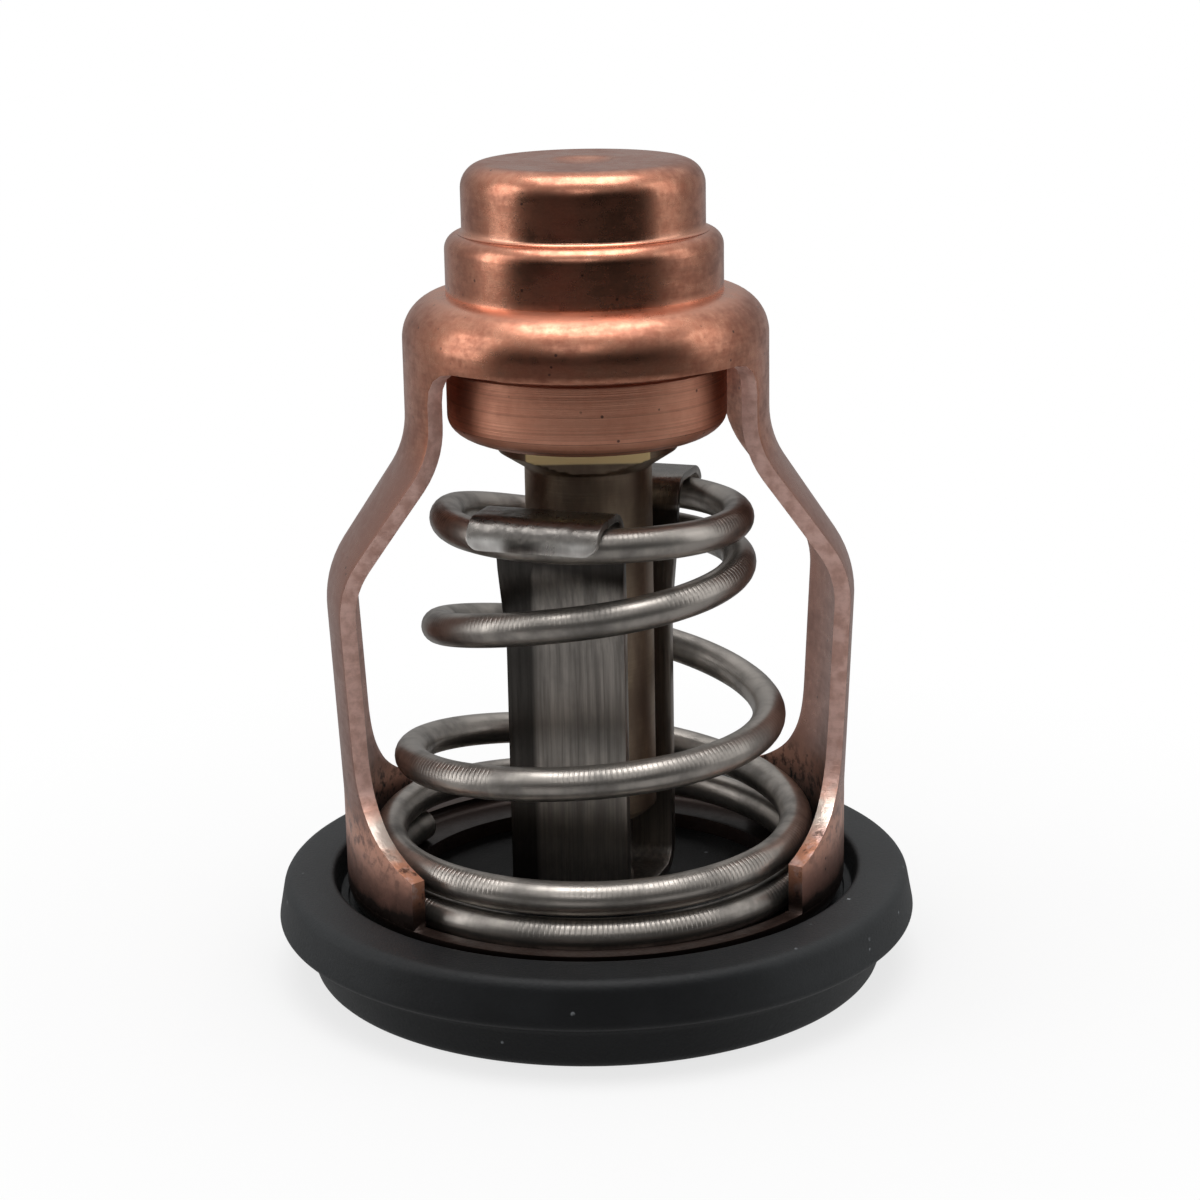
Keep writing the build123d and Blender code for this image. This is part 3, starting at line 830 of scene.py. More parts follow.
# ------------------------------------------------------------------ drawn frame
@dataclass
class DrawnFrame:
    """The one-piece copper frame: top ring, skirt, two arms, spreading feet, base wall, seat flange."""

    sheet: float = 0.85
    hole_radius: float = 7.3
    ring_radius: float = 9.65
    ring_top: float = 37.25
    ring_round: float = 2.3
    skirt_edge: float = 34.1
    shoulder_top: float = 29.4
    shoulder_low: float = 22.5
    shoulder_round: float = 5.4
    belly_radius: float = 14.25
    wall_radius: float = 13.7
    wall_kink: float = 10.3
    seat_underside: float = 3.85
    seat_corner: float = 1.4
    seat_bore: float = 10.4
    rim_top: float = 5.35
    arm_half_width: float = 4.6
    window_round: float = 1.8
    foot_half_width: float = 9.15
    foot_tip: float = 7.95
    foot_start: float = 13.9
    foot_pulls: tuple[tuple[float, float], ...] = ((4.6, 10.8), (6.0, 9.6))
    edge_round: float = 0.28
    turn: float = 4.1
    arm_columns: int = 25
    window_columns: int = 31
    corner_rows: int = 4
    arm_rows: int = 44
    foot_rows: int = 18
    end_rows: int = 6
    arc_points: int = 17
    ring_step: float = 0.35
    base_step: float = 0.4

    def section(self) -> np.ndarray:
        """Outer half-section of the frame, with its bends as arcs.

        Returns:
            Radius and height of its points, from the ring's inner edge down to the seat's bore.
        """
        corners = [
            (self.hole_radius, self.ring_top),
            (self.ring_radius, self.ring_top),
            (self.ring_radius, self.shoulder_top),
            (self.belly_radius, self.shoulder_low),
            (self.wall_radius, self.wall_kink),
            (self.wall_radius, self.seat_underside),
            (self.seat_bore, self.seat_underside),
        ]
        bend = self.shoulder_round
        radii = (self.ring_round, bend, bend, bend, self.seat_corner)
        return rounded_path(corners, radii, self.arc_points)

    def outline(self) -> tuple[np.ndarray, np.ndarray]:
        """Edge of an arm below the skirt, and the heights that go with it at the arm's middle.

        The edge runs round the window's corner, straight down the arm, along a Bezier curve over the foot
        and straight down the foot's end. The middle's heights fall evenly, so that rows fan out over the
        foot.

        Returns:
            The edge's half-width and height, row by row, and the height at the middle of each row.
        """
        half, bend = self.arm_half_width, self.window_round
        low, rows = self.skirt_edge - bend, self.corner_rows
        corner = np.linspace(pi / 2, 0, rows + 1)[1:]
        round_part = np.stack([half + bend * (1 - np.cos(corner)), low + bend * np.sin(corner)], 1)
        straight = self.upright(half, low, self.foot_start, self.arm_rows)
        start, tip = (half, self.foot_start), (self.foot_half_width, self.foot_tip)
        foot = bezier((start, *self.foot_pulls, tip), self.foot_rows + 1)[1:]
        end = self.upright(self.foot_half_width, self.foot_tip, self.rim_top, self.end_rows)
        edge = np.concatenate([round_part, straight, foot, end])
        centre = edge[:, 1].copy()
        fan = self.foot_rows + self.end_rows
        centre[-fan:] = np.linspace(self.foot_start, self.rim_top, fan + 1)[1:]
        centre[:rows] = np.linspace(self.skirt_edge, low, rows + 1)[1:]
        return edge, centre

    def upright(self, half_width: float, top: float, bottom: float, rows: int) -> np.ndarray:
        """Points of a straight stretch of the edge, evenly from just below its top to its bottom."""
        return np.stack([np.full(rows, half_width), np.linspace(top, bottom, rows + 1)[1:]], 1)

    def build(self, copper: bpy.types.Material, sheared: bpy.types.Material) -> bpy.types.Object:
        """Makes the outer surface, gives it its sheet thickness and eases its sheared edges.

        A point is (r cos a, r sin a, z). On an arm the angle is a share w of the edge's own angle
        asin(half-width / r), and the height leaves the centre's height for the edge's with w squared.

        Args:
            copper: the material of the faces.
            sheared: the material of the cut edges.

        Returns:
            The object.
        """
        section = self.section()
        share = np.linspace(-1, 1, self.arm_columns)
        patches = [self.ring_patch(ring, limit) for ring, limit in self.rings(section)]
        edge, centre = self.outline()
        arm_z = centre[:, None] + (edge[:, 1] - centre)[:, None] * share**2
        arm_r = self.wall_radius_at(section, arm_z)
        arm_angle = np.arcsin(np.clip(edge[:, :1] * share / arm_r, -1, 1))
        top = np.ones((1, self.arm_columns))
        height = np.concatenate([self.skirt_edge * top, arm_z])
        radius = np.concatenate([self.ring_radius * top, arm_r])
        angle = np.concatenate([self.top_angle() * share[None], arm_angle])
        for side in (0.0, pi):
            grid = [radius * np.cos(angle + side), radius * np.sin(angle + side), height]
            points = np.stack(grid, -1).reshape(-1, 3)
            patches.append((points, grid_faces(*angle.shape, wrap=False)))
        starts = np.cumsum([0] + [len(points) for points, _ in patches[:-1]])
        points = turned(np.concatenate([points for points, _ in patches]), self.turn)
        faces = np.concatenate([faces + start for (_, faces), start in zip(patches, starts)])
        piece = make_piece("copper_frame", points, faces, copper, sheared)
        thicken(piece, self.sheet, self.edge_round)
        piece.modifiers["Sheet"].material_offset_rim = 1
        return piece

    def top_angle(self) -> float:
        """Half the angle that an arm, with its window's corners, takes up at the skirt's edge."""
        return asin((self.arm_half_width + self.window_round) / self.ring_radius)

    def rings(self, section: np.ndarray) -> list[tuple[np.ndarray, float]]:
        """The two full rings of the frame, above the arms and below them.

        Args:
            section: the half-section that both are cut from.

        Returns:
            Each ring's profile, and half the angle that an arm takes up on it.
        """
        skirt = np.array([(self.ring_radius, self.skirt_edge)])
        upper = np.concatenate([section[section[:, 1] > self.skirt_edge + TOUCH], skirt])
        rim = np.array([(self.wall_radius, self.rim_top)])
        lower = np.concatenate([rim, section[section[:, 1] <= self.rim_top]])
        foot_angle = asin(self.foot_half_width / self.wall_radius)
        return [
            (refine(upper, self.ring_step), self.top_angle()),
            (refine(lower, self.base_step), foot_angle),
        ]

    def ring_patch(self, profile: np.ndarray, limit: float) -> tuple[np.ndarray, np.ndarray]:
        """Points and faces of a profile carried round the axis, at the frame's own angles."""
        angles = self.ring_angles(limit)
        return spin(profile, angles), grid_faces(len(profile), len(angles), wrap=True)

    def wall_radius_at(self, section: np.ndarray, height: np.ndarray) -> np.ndarray:
        """Outer radius of the arms and the base wall, read along the half-section.

        Args:
            section: the half-section.
            height: the heights at which the radius is wanted.

        Returns:
            The radius at each height.
        """
        low = self.seat_underside + self.seat_corner
        wall = section[(section[:, 1] > low) & (section[:, 0] > self.ring_radius - TOUCH)][::-1]
        return np.interp(height, wall[:, 1], wall[:, 0])

    def ring_angles(self, limit: float) -> np.ndarray:
        """Angles round a full ring, in radians.

        Args:
            limit: half the angle that an arm takes up; within it, the angles are an arm's own.

        Returns:
            The angles, in order.
        """
        arm = np.linspace(-limit, limit, self.arm_columns)
        gap = np.linspace(limit, pi - limit, self.window_columns)[1:-1]
        return np.concatenate([arm, gap, arm + pi, gap + pi])


# ------------------------------------------------------------------ wax element
@dataclass
class WaxElement:
    """The stepped copper cup and the brass guide crimped into its mouth."""

    cap_radius: float = 6.38
    top: float = 44.0
    top_round: float = 1.3
    shoulder: float = 40.4
    shoulder_round: float = 0.85
    radius: float = 7.3
    crimp_radius: float = 7.42
    crimp_top: float = 33.4
    crimp_bottom: float = 29.5
    crimp_round: float = 1.3
    lip_radius: float = 5.3
    lip_wall: float = 0.15
    step_height: float = 0.12
    step_round: float = 0.1
    inner_round: float = 0.22
    dimple_radius: float = 1.9
    dimple_depth: float = 0.3
    collar_radius: float = 4.8
    collar_bottom: float = 28.85
    flat: float = 3.6
    neck: float = 27.95
    guide_radius: float = 3.4
    guide_bottom: float = 8.6
    guide_rounds: tuple[float, ...] = (0.05, 0.1, 0.15, 0.1, 0.1, 0.08, 0.0)
    bore_radius: float = 2.05
    bore_depth: float = 6.0
    chamfer: float = 0.4
    flange_bottom: float = 30.4
    cup_columns: int = 192
    guide_columns: int = 40
    cup_step: float = 0.5
    guide_step: float = 0.3
    arc_points: int = 13
    dimple_points: int = 9

    def build_cup(self, copper: bpy.types.Material) -> bpy.types.Object:
        """Makes the cup: a lathe surface over a section with rounded shoulders and a curled, crimped end.

        The dimple is a parabola. The curl is a quarter of an ellipse, from the crimped wall to the lip.

        Args:
            copper: the material.

        Returns:
            The object.
        """
        share = np.linspace(0, 1, self.dimple_points)[:, None]
        dimple = np.hstack([self.dimple_radius * share, self.top - self.dimple_depth * (1 - share**2)])
        body = rounded_path(
            [
                (self.dimple_radius, self.top),
                (self.cap_radius, self.top),
                (self.cap_radius, self.shoulder),
                (self.radius, self.shoulder),
                (self.radius, self.crimp_top + self.step_height),
                (self.crimp_radius, self.crimp_top),
                (self.crimp_radius, self.crimp_bottom + self.crimp_round),
            ],
            (self.top_round, self.inner_round, self.shoulder_round, self.step_round, self.step_round),
            self.arc_points,
        )
        swing = np.linspace(0, -pi / 2, self.arc_points)[1:]
        reach, rise = self.crimp_radius - self.lip_radius, self.crimp_round
        curl_height = self.crimp_bottom + rise + rise * np.sin(swing)
        curl = np.stack([self.lip_radius + reach * np.cos(swing), curl_height], 1)
        mouth, lip_top = self.lip_radius - self.lip_wall, self.crimp_bottom + self.lip_wall
        inside = np.array([(mouth, lip_top), (mouth, self.flange_bottom), (0, self.flange_bottom)])
        profile = refine(np.concatenate([dimple, body, curl, inside]), self.cup_step)
        return lathe("element_copper", profile, self.cup_columns, copper)

    def build_guide(self, brass: bpy.types.Material) -> bpy.types.Object:
        """Makes the guide: a lathe surface whose collar and cone are cut by two flats.

        A flat is made by keeping y between minus and plus its distance from the axis, above the neck. Some
        columns stand at the collar's own corners with the flats, asin(flat / collar radius).

        Args:
            brass: the material.

        Returns:
            The object.
        """
        path = rounded_path(
            [
                (0, self.flange_bottom),
                (self.collar_radius, self.flange_bottom),
                (self.collar_radius, self.collar_bottom),
                (self.guide_radius, self.neck),
                (self.guide_radius, self.guide_bottom + self.chamfer),
                (self.guide_radius - self.chamfer, self.guide_bottom),
                (self.bore_radius, self.guide_bottom),
                (self.bore_radius, self.guide_bottom + self.bore_depth),
                (0, self.guide_bottom + self.bore_depth),
            ],
            self.guide_rounds,
        )
        corner = asin(self.flat / self.collar_radius)
        side = np.linspace(-corner, corner, self.guide_columns, endpoint=False)
        front = np.linspace(corner, pi - corner, self.guide_columns, endpoint=False)
        angles = np.concatenate([side, front, side + pi, front + pi])
        profile = refine(path, self.guide_step)
        points = spin(profile, angles)
        cut = points[:, 2] > self.neck
        points[cut, 1] = np.clip(points[cut, 1], -self.flat, self.flat)
        faces = grid_faces(len(profile), len(angles), wrap=True)
        return make_piece("guide_brass", points, faces, brass, sharp=25)


# ------------------------------------------------------------------ strap and spring
@dataclass
class Strap:
    """The U-shaped steel strip that hooks over the spring's top turn and carries the valve."""

    sheet: float = 0.6
    turn: float = -19.0
    inside: float = 3.7
    splay: float = 1.1
    width: float = 6.6
    hook_width: float = 7.1
    widens_from: float = 19.0
    widens_to: float = 24.6
    ease: float = 12.0
    bend: float = 1.1
    bridge_top: float = 4.43
    hook_sheet: float = 0.42
    hook_drop: float = 1.15
    hook_clearance: float = 0.13
    hook_fade: float = 1.5
    tab_round: float = 0.8
    edge_round: float = 0.14
    hook_turns: tuple[float, float] = (1691.0, 1871.0)
    columns: int = 17
    step: float = 0.5
    end_step: float = 0.08
    arc_points: int = 13

    def build(self, steel: bpy.types.Material, spring: "ConicalSpring") -> bpy.types.Object:
        """Makes the strip: a path seen from the side, spread evenly across a width that grows upwards.

        A point is the path's (y, z) at x = share * half-width(z), turned about the valve axis. Each hook
        runs round the wire at the wire's radius plus a gap.

        Args:
            steel: the material.
            spring: the spring whose last turn carries the hooks.

        Returns:
            The object.
        """
        path = self.path(spring)
        low, high = self.widens_from, self.widens_to
        growth = np.clip((path[:, 1] - low) / (high - low), 0, 1)
        half_width = (self.width + (self.hook_width - self.width) * growth) / 2
        half_width -= self.corner_loss(path)
        x = half_width[:, None] * np.linspace(-1, 1, self.columns)
        grid = np.stack([x, path[:, :1] + 0 * x, path[:, 1:] + 0 * x], -1).reshape(-1, 3)
        faces = grid_faces(*x.shape, wrap=False)
        piece = make_piece("strap_steel", turned(grid, self.turn), faces, steel)
        self.face_up(piece)
        self.thin_hooks(piece)
        thicken(piece, self.sheet, self.edge_round)
        sheet = piece.modifiers["Sheet"]
        sheet.vertex_group = "full_sheet"
        sheet.thickness_vertex_group = self.hook_sheet / self.sheet
        return piece

    def corner_loss(self, path: np.ndarray) -> np.ndarray:
        """How much each half-width gives to the rounded corners at the two ends of the strip.

        At a distance d from an end, less than the radius r, a circle takes r - sqrt(r^2 - (r - d)^2).

        Args:
            path: the strip's path.

        Returns:
            The loss at each point of the path.
        """
        steps = np.linalg.norm(np.diff(path, axis=0), axis=1)
        run = np.concatenate([[0], np.cumsum(steps)])
        reach = np.minimum(run, run[-1] - run)
        inside = np.clip(self.tab_round - reach, 0, self.tab_round)
        return self.tab_round - np.sqrt(self.tab_round**2 - inside**2)

    def thin_hooks(self, piece: bpy.types.Object) -> None:
        """Marks where the sheet keeps its full thickness: everywhere but on the beaten hooks.

        Args:
            piece: the strip, which gets a vertex group.
        """
        places = np.zeros(len(piece.data.vertices) * 3)
        piece.data.vertices.foreach_get("co", places)
        height = places.reshape(-1, 3)[:, 2] / MM
        weight = np.round(np.clip((self.widens_to - height) / self.hook_fade, 0, 1), 2)
        group = piece.vertex_groups.new(name="full_sheet")
        for value in np.unique(weight):
            group.add(np.flatnonzero(weight == value).tolist(), float(value), "REPLACE")

    def path(self, spring: "ConicalSpring") -> np.ndarray:
        """The strip seen edge on: the face that looks at the axis and, on the hooks and bridge, upwards.

        Args:
            spring: the spring whose wire the hooks go round.

        Returns:
            The path from the front hook's end to the back hook's end, as y and z.
        """
        bend = spring.wire_radius + self.hook_clearance + self.hook_sheet
        halves = []
        for side, turn in zip((-1, 1), self.hook_turns):
            radius, height = (float(value[0]) + bend for value in spring.at(np.array([turn])))
            halves.append(
                [
                    (side * radius, height - self.hook_sheet - self.hook_drop),
                    (side * radius, height),
                    (side * (self.inside + self.splay), height),
                    (side * self.inside, self.widens_from),
                    (side * self.inside, self.bridge_top),
                ]
            )
        bends = (bend, bend, self.ease, self.bend)
        corners = halves[0] + halves[1][::-1]
        path = refine(rounded_path(corners, bends + bends[::-1], self.arc_points), self.step)
        first, last = refine(path[:2], self.end_step), refine(path[-2:], self.end_step)
        return np.concatenate([first[:-1], path[1:-1], last])

    def face_up(self, piece: bpy.types.Object) -> None:
        """Turns the faces so that the bridge looks up; the thickness then grows down and outwards.

        Args:
            piece: the strip.
        """
        middle = Vector((0, 0, self.bridge_top * MM))
        bridge = min(piece.data.polygons, key=lambda face: (face.center - middle).length)
        if bridge.normal.z < 0:
            piece.data.flip_normals()


@dataclass
class ConicalSpring:
    """The return spring: a right-handed helix, narrower upwards, with a closed turn at each end.

    Each station is a turn angle in degrees, and there the radius of the wire's middle and its height
    above the lowest turn's.
    """

    wire_radius: float = 0.9
    seat: float = 4.7
    floor: float = 5.6
    travel: float = 3.0
    stations: tuple[tuple[float, float, float], ...] = (
        (150, 11.45, 0.0),
        (270, 11.45, 0.0),
        (360, 11.40, 0.25),
        (450, 11.32, 1.10),
        (520, 11.27, 1.90),
        (630, 11.22, 1.93),
        (720, 11.05, 2.35),
        (810, 10.50, 3.95),
        (900, 10.00, 6.25),
        (990, 9.80, 7.75),
        (1080, 9.60, 8.45),
        (1170, 9.00, 10.70),
        (1260, 8.30, 13.50),
        (1350, 8.05, 15.80),
        (1440, 8.05, 16.90),
        (1520, 7.85, 17.25),
        (1620, 7.65, 19.60),
        (1710, 7.80, 19.70),
        (1800, 7.95, 19.35),
        (1875, 7.85, 19.20),
    )
    step: float = 3.0
    sides: int = 24
    tip: float = 0.2
    tip_edge: float = 0.9
    tip_size: float = 0.8

    def at(self, turns: np.ndarray) -> tuple[np.ndarray, np.ndarray]:
        """Where the wire's middle is, by monotone cubic interpolation over the turn angle.

        Args:
            turns: turn angles in degrees, counted on from turn to turn.

        Returns:
            The radius and the height at each angle.
        """
        table = np.array(self.stations, float)
        radius = monotone(turns, table[:, 0], table[:, 1])
        height = monotone(turns, table[:, 0], table[:, 2])
        return radius, self.floor + height

    def build(self, steel: bpy.types.Material) -> bpy.types.Object:
        """Makes the wire: a circle carried along the helix, closed by a flattened cone at each end.

        The circle is spanned by the outward direction from the valve axis, made square to the wire,
        and by the cross product of the wire's direction with it.

        Args:
            steel: the material.

        Returns:
            The object.
        """
        turns = np.arange(self.stations[0][0], self.stations[-1][0] + self.step / 2, self.step)
        radius, height = self.at(turns)
        angle = np.radians(turns)
        line = np.stack([radius * np.cos(angle), radius * np.sin(angle), height], 1)
        tangent = unit(np.gradient(line, axis=0))
        outward = line * [1, 1, 0]
        outward = unit(outward - np.sum(outward * tangent, 1, keepdims=True) * tangent)
        across = np.cross(tangent, outward)
        run = np.concatenate([[0], np.cumsum(np.linalg.norm(np.diff(line, axis=0), axis=1))])
        size = np.full(len(line), self.wire_radius)

        tips = self.tip * np.array([[1.0], [self.tip_edge]])
        cone = self.wire_radius * np.array([0.0, self.tip_size])
        line = np.concatenate([line[:1] - tangent[:1] * tips, line, line[-1:] + tangent[-1:] * tips[::-1]])
        size = np.concatenate([cone, size, cone[::-1]])
        run = np.concatenate([-tips[:, 0], run, run[-1] + tips[::-1, 0]])
        outward, across = (np.pad(v, ((2, 2), (0, 0)), mode="edge") for v in (outward, across))

        around = np.linspace(0, 2 * pi, self.sides + 1)
        ring = np.cos(around)[:, None] * outward[:, None] + np.sin(around)[:, None] * across[:, None]
        grid = line[:, None] + size[:, None, None] * ring
        uv = np.stack(np.broadcast_arrays(run[:, None], around / (2 * pi)), -1)
        faces = grid_faces(len(line), self.sides + 1, wrap=False)
        return make_piece("spring_wire", grid.reshape(-1, 3), faces, steel, uv=uv.reshape(-1, 2))


def unit(rows: np.ndarray) -> np.ndarray:
    """The same vectors, one per row, with length 1."""
    return rows / np.linalg.norm(rows, axis=1, keepdims=True)


def monotone(where: np.ndarray, knots: np.ndarray, values: np.ndarray) -> np.ndarray:
    """Cubic Hermite interpolation whose slopes are harmonic means, so it never overshoots the values.

    Args:
        where: the places at which values are wanted.
        knots: the places at which they are known, in rising order.
        values: the known values.

    Returns:
        The value at each place.
    """
    slopes = np.diff(values) / np.diff(knots)
    left, right = slopes[:-1], slopes[1:]
    same = left * right > 0
    inner = np.where(same, 2 * left * right / np.where(same, left + right, 1), 0)
    tangents = np.concatenate([slopes[:1], inner, slopes[-1:]])
    span = np.clip(np.searchsorted(knots, where, side="right") - 1, 0, len(slopes) - 1)
    width = knots[span + 1] - knots[span]
    t = (where - knots[span]) / width
    return (
        (2 * t**3 - 3 * t**2 + 1) * values[span]
        + (t**3 - 2 * t**2 + t) * width * tangents[span]
        + (3 * t**2 - 2 * t**3) * values[span + 1]
        + (t**3 - t**2) * width * tangents[span + 1]
    )


# ------------------------------------------------------------------ sealing ring
@dataclass
class SealingRing:
    """The moulded rubber ring: short body, thin lip, sloping top and a groove round the frame's wall."""

    bore: float = 12.0
    body_radius: float = 15.85
    foot_ease: float = 0.7
    draft: float = 0.3
    notch_round: float = 0.7
    notch: float = 2.35
    lip_reach: float = 17.55
    lip_height: float = 3.0
    lip_round: float = 0.4
    crest_radius: float = 17.1
    crest_height: float = 5.4
    crest_round: float = 0.7
    top: float = 5.5
    mouth_radius: float = 14.45
    recess: float = 4.1
    wall_radius: float = 13.7
    seat_underside: float = 3.85
    ease: float = 0.3
    inner_rounds: tuple[float, ...] = (0.1, 0.05, 0.0, 0.1, 0.2)
    columns: int = 256
    step: float = 0.45

    def build(self, rubber: bpy.types.Material) -> bpy.types.Object:
        """Makes the ring: a lathe surface over a closed section with rounded edges.

        Args:
            rubber: the material.

        Returns:
            The object.
        """
        middle = (self.bore + self.body_radius) / 2
        corners = [
            (middle, 0.0),
            (self.body_radius - self.draft, 0.0),
            (self.body_radius + self.draft, self.notch),
            (self.lip_reach, self.lip_height),
            (self.crest_radius, self.crest_height),
            (self.mouth_radius, self.top),
            (self.mouth_radius - self.ease, self.recess),
            (self.wall_radius, self.recess),
            (self.wall_radius, self.seat_underside),
            (self.bore, self.seat_underside),
            (self.bore, 0.0),
            (middle, 0.0),
        ]
        outer = (self.foot_ease, self.notch_round, self.lip_round, self.crest_round, self.ease)
        section = refine(rounded_path(corners, outer + self.inner_rounds), self.step)
        return lathe("gasket_rubber", section, self.columns, rubber)


# ------------------------------------------------------------------ studio
@dataclass(frozen=True)
class Lamp:
    """A soft rectangular lamp: its middle, width and height in millimetres, and its power in watts."""

    name: str
    middle: Place
    size: tuple[float, float]
    power: float

    def hang(self, target: Place) -> None:
        """Adds the lamp to the scene.

        Args:
            target: the point that it faces, in millimetres.
        """
        data = bpy.data.lights.new(self.name, "AREA")
        data.shape = "RECTANGLE"
        data.size, data.size_y = (side * MM for side in self.size)
        data.energy = self.power
        lamp = bpy.data.objects.new(self.name, data)
        bpy.context.scene.collection.objects.link(lamp)
        lamp.location = Vector(self.middle) * MM
        towards = Vector(target) - Vector(self.middle)
        lamp.rotation_euler = towards.to_track_quat("-Z", "Y").to_euler()


@dataclass
class Studio:
    """Camera, floor, world and lamps: a pale room that is darker on the camera's side."""

    focal_length: float = 83.3
    sensor: float = 36.0
    clip: tuple[float, float] = (0.01, 10.0)
    distance: float = 150.0
    elevation: float = 15.44
    aim: Place = (0.5, 0.0, 20.34)
    roll: float = 1.05
    floor_reach: float = 3000.0
    paper: Colour = (0.8, 0.8, 0.8)
    shadow_reach: tuple[float, float] = (18.0, 60.0)
    shadow_glow: float = 0.75
    front_bearing: float = -0.37
    front_blur: float = 0.25
    mirrored: float = 0.31
    dark: float = 0.014
    near_front: float = 0.38
    near_reach: float = 124.0
    near_blur: float = 10.0
    warm_front: float = 0.07
    warm_tint: Colour = (1.0, 0.30, 0.30)
    warm_middle: float = -75.0
    warm_width: float = 65.0
    ceiling: tuple[float, float] = (0.25, 0.8)
    overhead: float = 0.45
    lit: Place = (0.0, 0.0, 22.0)
    lamps: tuple[Lamp, ...] = (
        Lamp("lamp_above", (0.0, -20.0, 280.0), (230.0, 165.0), 0.42),
        Lamp("lamp_left", (-280.0, -40.0, 120.0), (150.0, 240.0), 0.19),
        Lamp("lamp_right", (280.0, -20.0, 120.0), (150.0, 240.0), 0.075),
        Lamp("lamp_front", (-40.0, -300.0, 240.0), (160.0, 60.0), 0.06),
    )

    def build(self) -> None:
        """Sets up the whole studio."""
        self.build_camera()
        self.build_floor()
        self.build_world()
        for lamp in self.lamps:
            lamp.hang(self.lit)

    def build_camera(self) -> None:
        """Makes the camera: it looks down by the elevation and is turned by the roll about its view."""
        data = bpy.data.cameras.new("camera")
        data.lens = self.focal_length
        data.sensor_width = self.sensor
        data.clip_start, data.clip_end = self.clip
        camera = bpy.data.objects.new("camera", data)
        bpy.context.scene.collection.objects.link(camera)
        tilt, roll = radians(self.elevation), radians(self.roll)
        back = Vector((0, -cos(tilt), sin(tilt)))
        right, up = Vector((1, 0, 0)), Vector((0, sin(tilt), cos(tilt)))
        across = right * cos(roll) - up * sin(roll)
        above = up * cos(roll) + right * sin(roll)
        facing = Matrix((across, above, back)).transposed().to_4x4()
        middle = (Vector(self.aim) + back * self.distance) * MM
        camera.matrix_world = Matrix.Translation(middle) @ facing
        bpy.context.scene.camera = camera

    def build_floor(self) -> None:
        """Makes a wide pale floor: white to the camera far out, with the object's shadow kept close by.

        The glow's share rises with the distance from the object, so the far floor has no visible edge.
        Mirrors see the floor pale beside and behind the object, dimmer close in front of it, and dark
        further out in front, with a faint warm patch on the left.
        """
        s = Surface("floor_paper")
        near, far = self.shadow_reach
        share = s.radius.step(near, far) * (1.0 - self.shadow_glow) + self.shadow_glow
        sides = self.pale_sides(s.y / s.radius)
        front = s.radius.below(self.near_reach, self.near_blur) * self.near_front
        warm = s.x.band(self.warm_middle, self.warm_width) * (1.0 - sides)
        warm = warm * s.radius.above(self.near_reach, self.near_blur)
        level = sides * self.mirrored + (1.0 - sides) * front + warm * self.warm_front + self.dark
        tint = s.blend(warm, WHITE, self.warm_tint)
        paper = s.node("ShaderNodeBsdfDiffuse", inputs={"Color": (*self.paper, 1.0)})
        glow = s.node("ShaderNodeEmission", inputs={"Color": (*WHITE, 1.0), "Strength": 1.0})
        mirror = s.node("ShaderNodeEmission", inputs={"Color": tint, "Strength": level})
        mixed = s.node("ShaderNodeMixShader", inputs={0: self.camera_rays(s) * share, 1: paper, 2: glow})
        mixed = s.node("ShaderNodeMixShader", inputs={0: self.mirror_rays(s), 1: mixed, 2: mirror})
        s.close("ShaderNodeOutputMaterial", mixed)
        corners = np.array([(-1, -1, 0), (1, -1, 0), (1, 1, 0), (-1, 1, 0)], float) * self.floor_reach
        floor = make_piece("floor", corners, np.array([[0, 1, 2, 3]]), s.material)

    def pale_sides(self, facing: Signal) -> Signal:
        """1 beside and behind the object, 0 in front; facing is the sine of the bearing, -1 in front."""
        return facing.above(self.front_bearing, self.front_blur)

    def camera_rays(self, bench: Bench) -> Signal:
        """1 for rays straight from the camera."""
        return bench.node("ShaderNodeLightPath", output="Is Camera Ray")

    def mirror_rays(self, bench: Bench) -> Signal:
        """1 for rays by way of a mirror or through glass.

        Args:
            bench: the tree that asks.

        Returns:
            The signal.
        """
        glossy = bench.node("ShaderNodeLightPath", output="Is Glossy Ray")
        through = bench.node("ShaderNodeLightPath", output="Is Transmission Ray")
        return (glossy + through).clamped()

    def build_world(self) -> None:
        """Makes the world: white to the camera, elsewhere a soft room, darker on the camera's side."""
        world = bpy.data.worlds.new("room")
        bpy.context.scene.world = world
        world.use_nodes = True
        b = Bench(world.node_tree)
        direction = b.node("ShaderNodeTexCoord", output="Generated")
        y, z = b.part(direction, "Y"), b.part(direction, "Z")
        room = self.pale_sides(y) * self.mirrored + z.step(*self.ceiling) * self.overhead + self.dark
        camera = self.camera_rays(b)
        strength = camera + (1.0 - camera) * room.clamped()
        light = b.node("ShaderNodeBackground", inputs={"Color": (*WHITE, 1.0), "Strength": strength})
        b.close("ShaderNodeOutputWorld", light)


# ------------------------------------------------------------------ putting it together
def dress_nodes(finishes: dict[str, bpy.types.Material]) -> None:
    """Gives CAD nodes that stay as they are their material.

    Args:
        finishes: material by node name.
    """
    for node, material in finishes.items():
        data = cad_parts[node].data
        data.materials.clear()
        data.materials.append(material)
        LOG.info("node %s: %s", node, material.name)


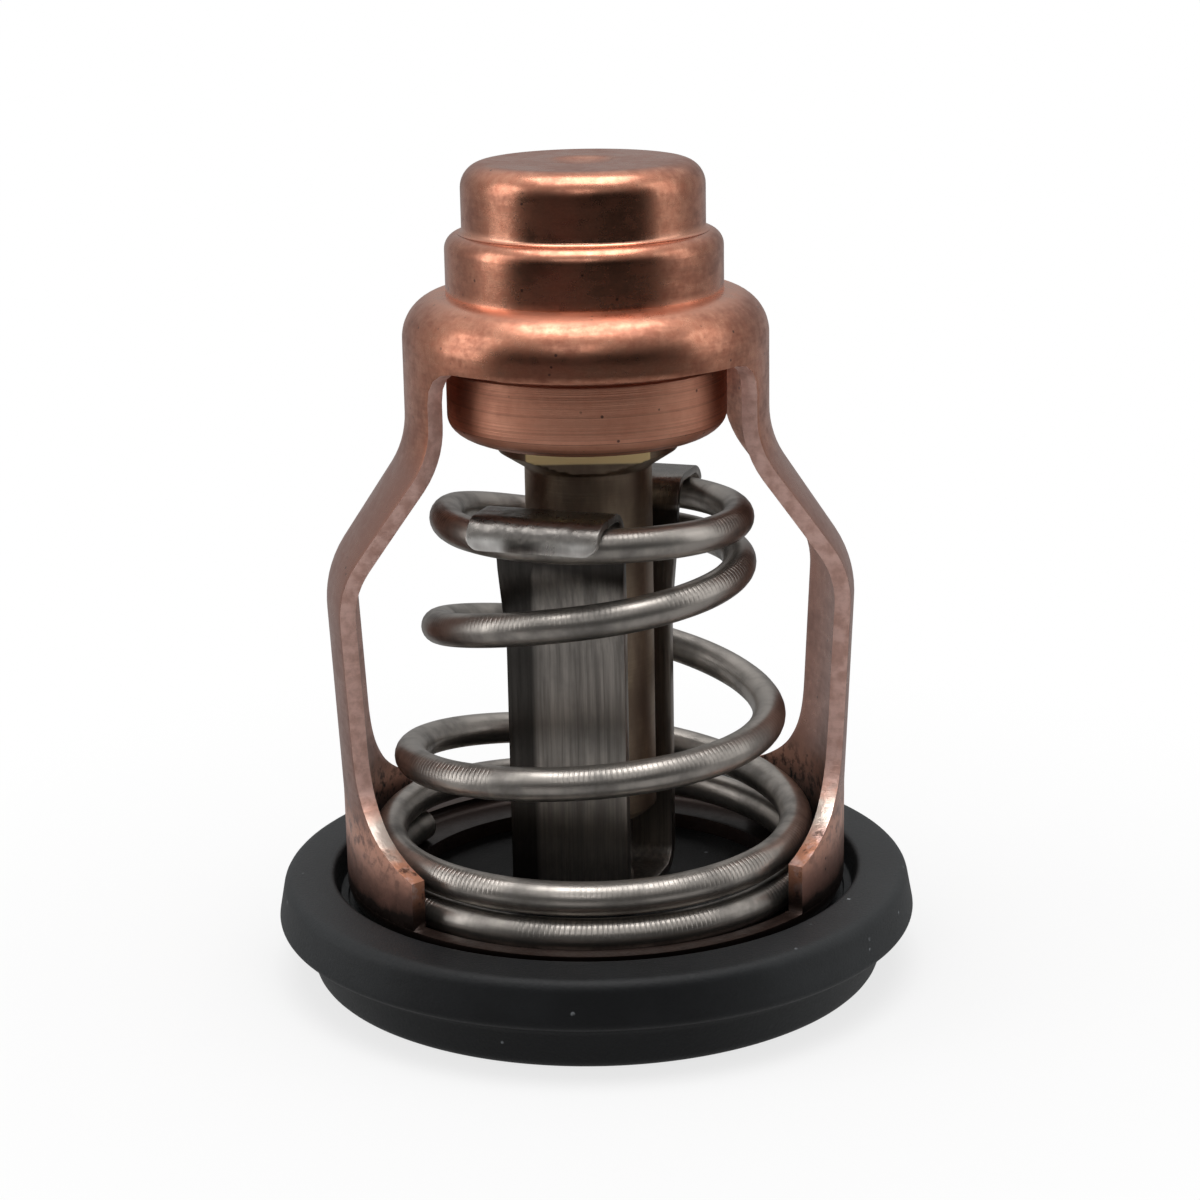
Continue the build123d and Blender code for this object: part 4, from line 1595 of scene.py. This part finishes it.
def place(piece: bpy.types.Object, body: str, slot: str, *nodes: str) -> None:
    """Lets a piece stand for its CAD nodes on the body that carries them.

    Args:
        piece: the piece.
        body: the body's name.
        slot: the name of the piece's finish slot; not used.
        nodes: names of the nodes that it replaces.
    """
    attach(piece, body)
    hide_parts(*nodes)
    LOG.info("piece %s rides on %s for %s", piece.name, body, ", ".join(nodes))


def main() -> None:
    """Builds the studio, the pieces and the finishes in order."""
    logging.basicConfig(level=logging.INFO, format="%(name)s: %(message)s")
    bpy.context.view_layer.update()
    Studio().build()
    copper = Copper("copper_frame_finish").build()
    sheared = ShearedCopper("copper_edge_finish").build()
    cup_copper = Copper("copper_cup_finish", rough=0.17, turned_share=1.0).build()
    wire = Steel("spring_wire_finish", SteelForm.WIRE, rough=0.25).build()
    strip = Steel("strap_sheet_finish", rough=0.22).build()
    brass = Brass("guide_brass_finish").build()
    rubber = Rubber("gasket_rubber_finish").build()

    place(SealingRing().build(rubber), "housing", "gasket_rubber", "gasket_ring")
    place(DrawnFrame().build(copper, sheared), "housing", "copper_frame", "frame")
    element = WaxElement()
    place(element.build_cup(cup_copper), "housing", "copper_cup", "element_cup")
    place(element.build_guide(brass), "housing", "brass_guide", "guide")
    coil = ConicalSpring()
    place(Strap().build(strip, coil), "valve", "strap_steel", "strap")
    spring = coil.build(wire)
    place(spring, "housing", "spring_steel", "spring")
    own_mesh(spring)

    hidden = Rubber("hidden_rubber_finish").build()
    dress_nodes(
        {
            "valve_seal": Rubber("seal_rubber_finish").build(),
            "valve_plate": Steel("plate_finish").build(),
            "rivet": Steel("rivet_finish").build(),
            "piston": Steel("piston_finish", rough=0.10).build(),
            "diaphragm": hidden,
            "rubber_plug": hidden,
            "chafe_disc": Plain("chafe_disc_finish", (0.80, 0.79, 0.75), (0.70, 0.69, 0.65)).build(),
            "wax_charge": Plain("wax_finish", (0.50, 0.30, 0.18), (0.38, 0.22, 0.13)).build(),
        }
    )
    bpy.context.scene.view_settings.view_transform = "Standard"


if __name__ == "__main__":
    main()
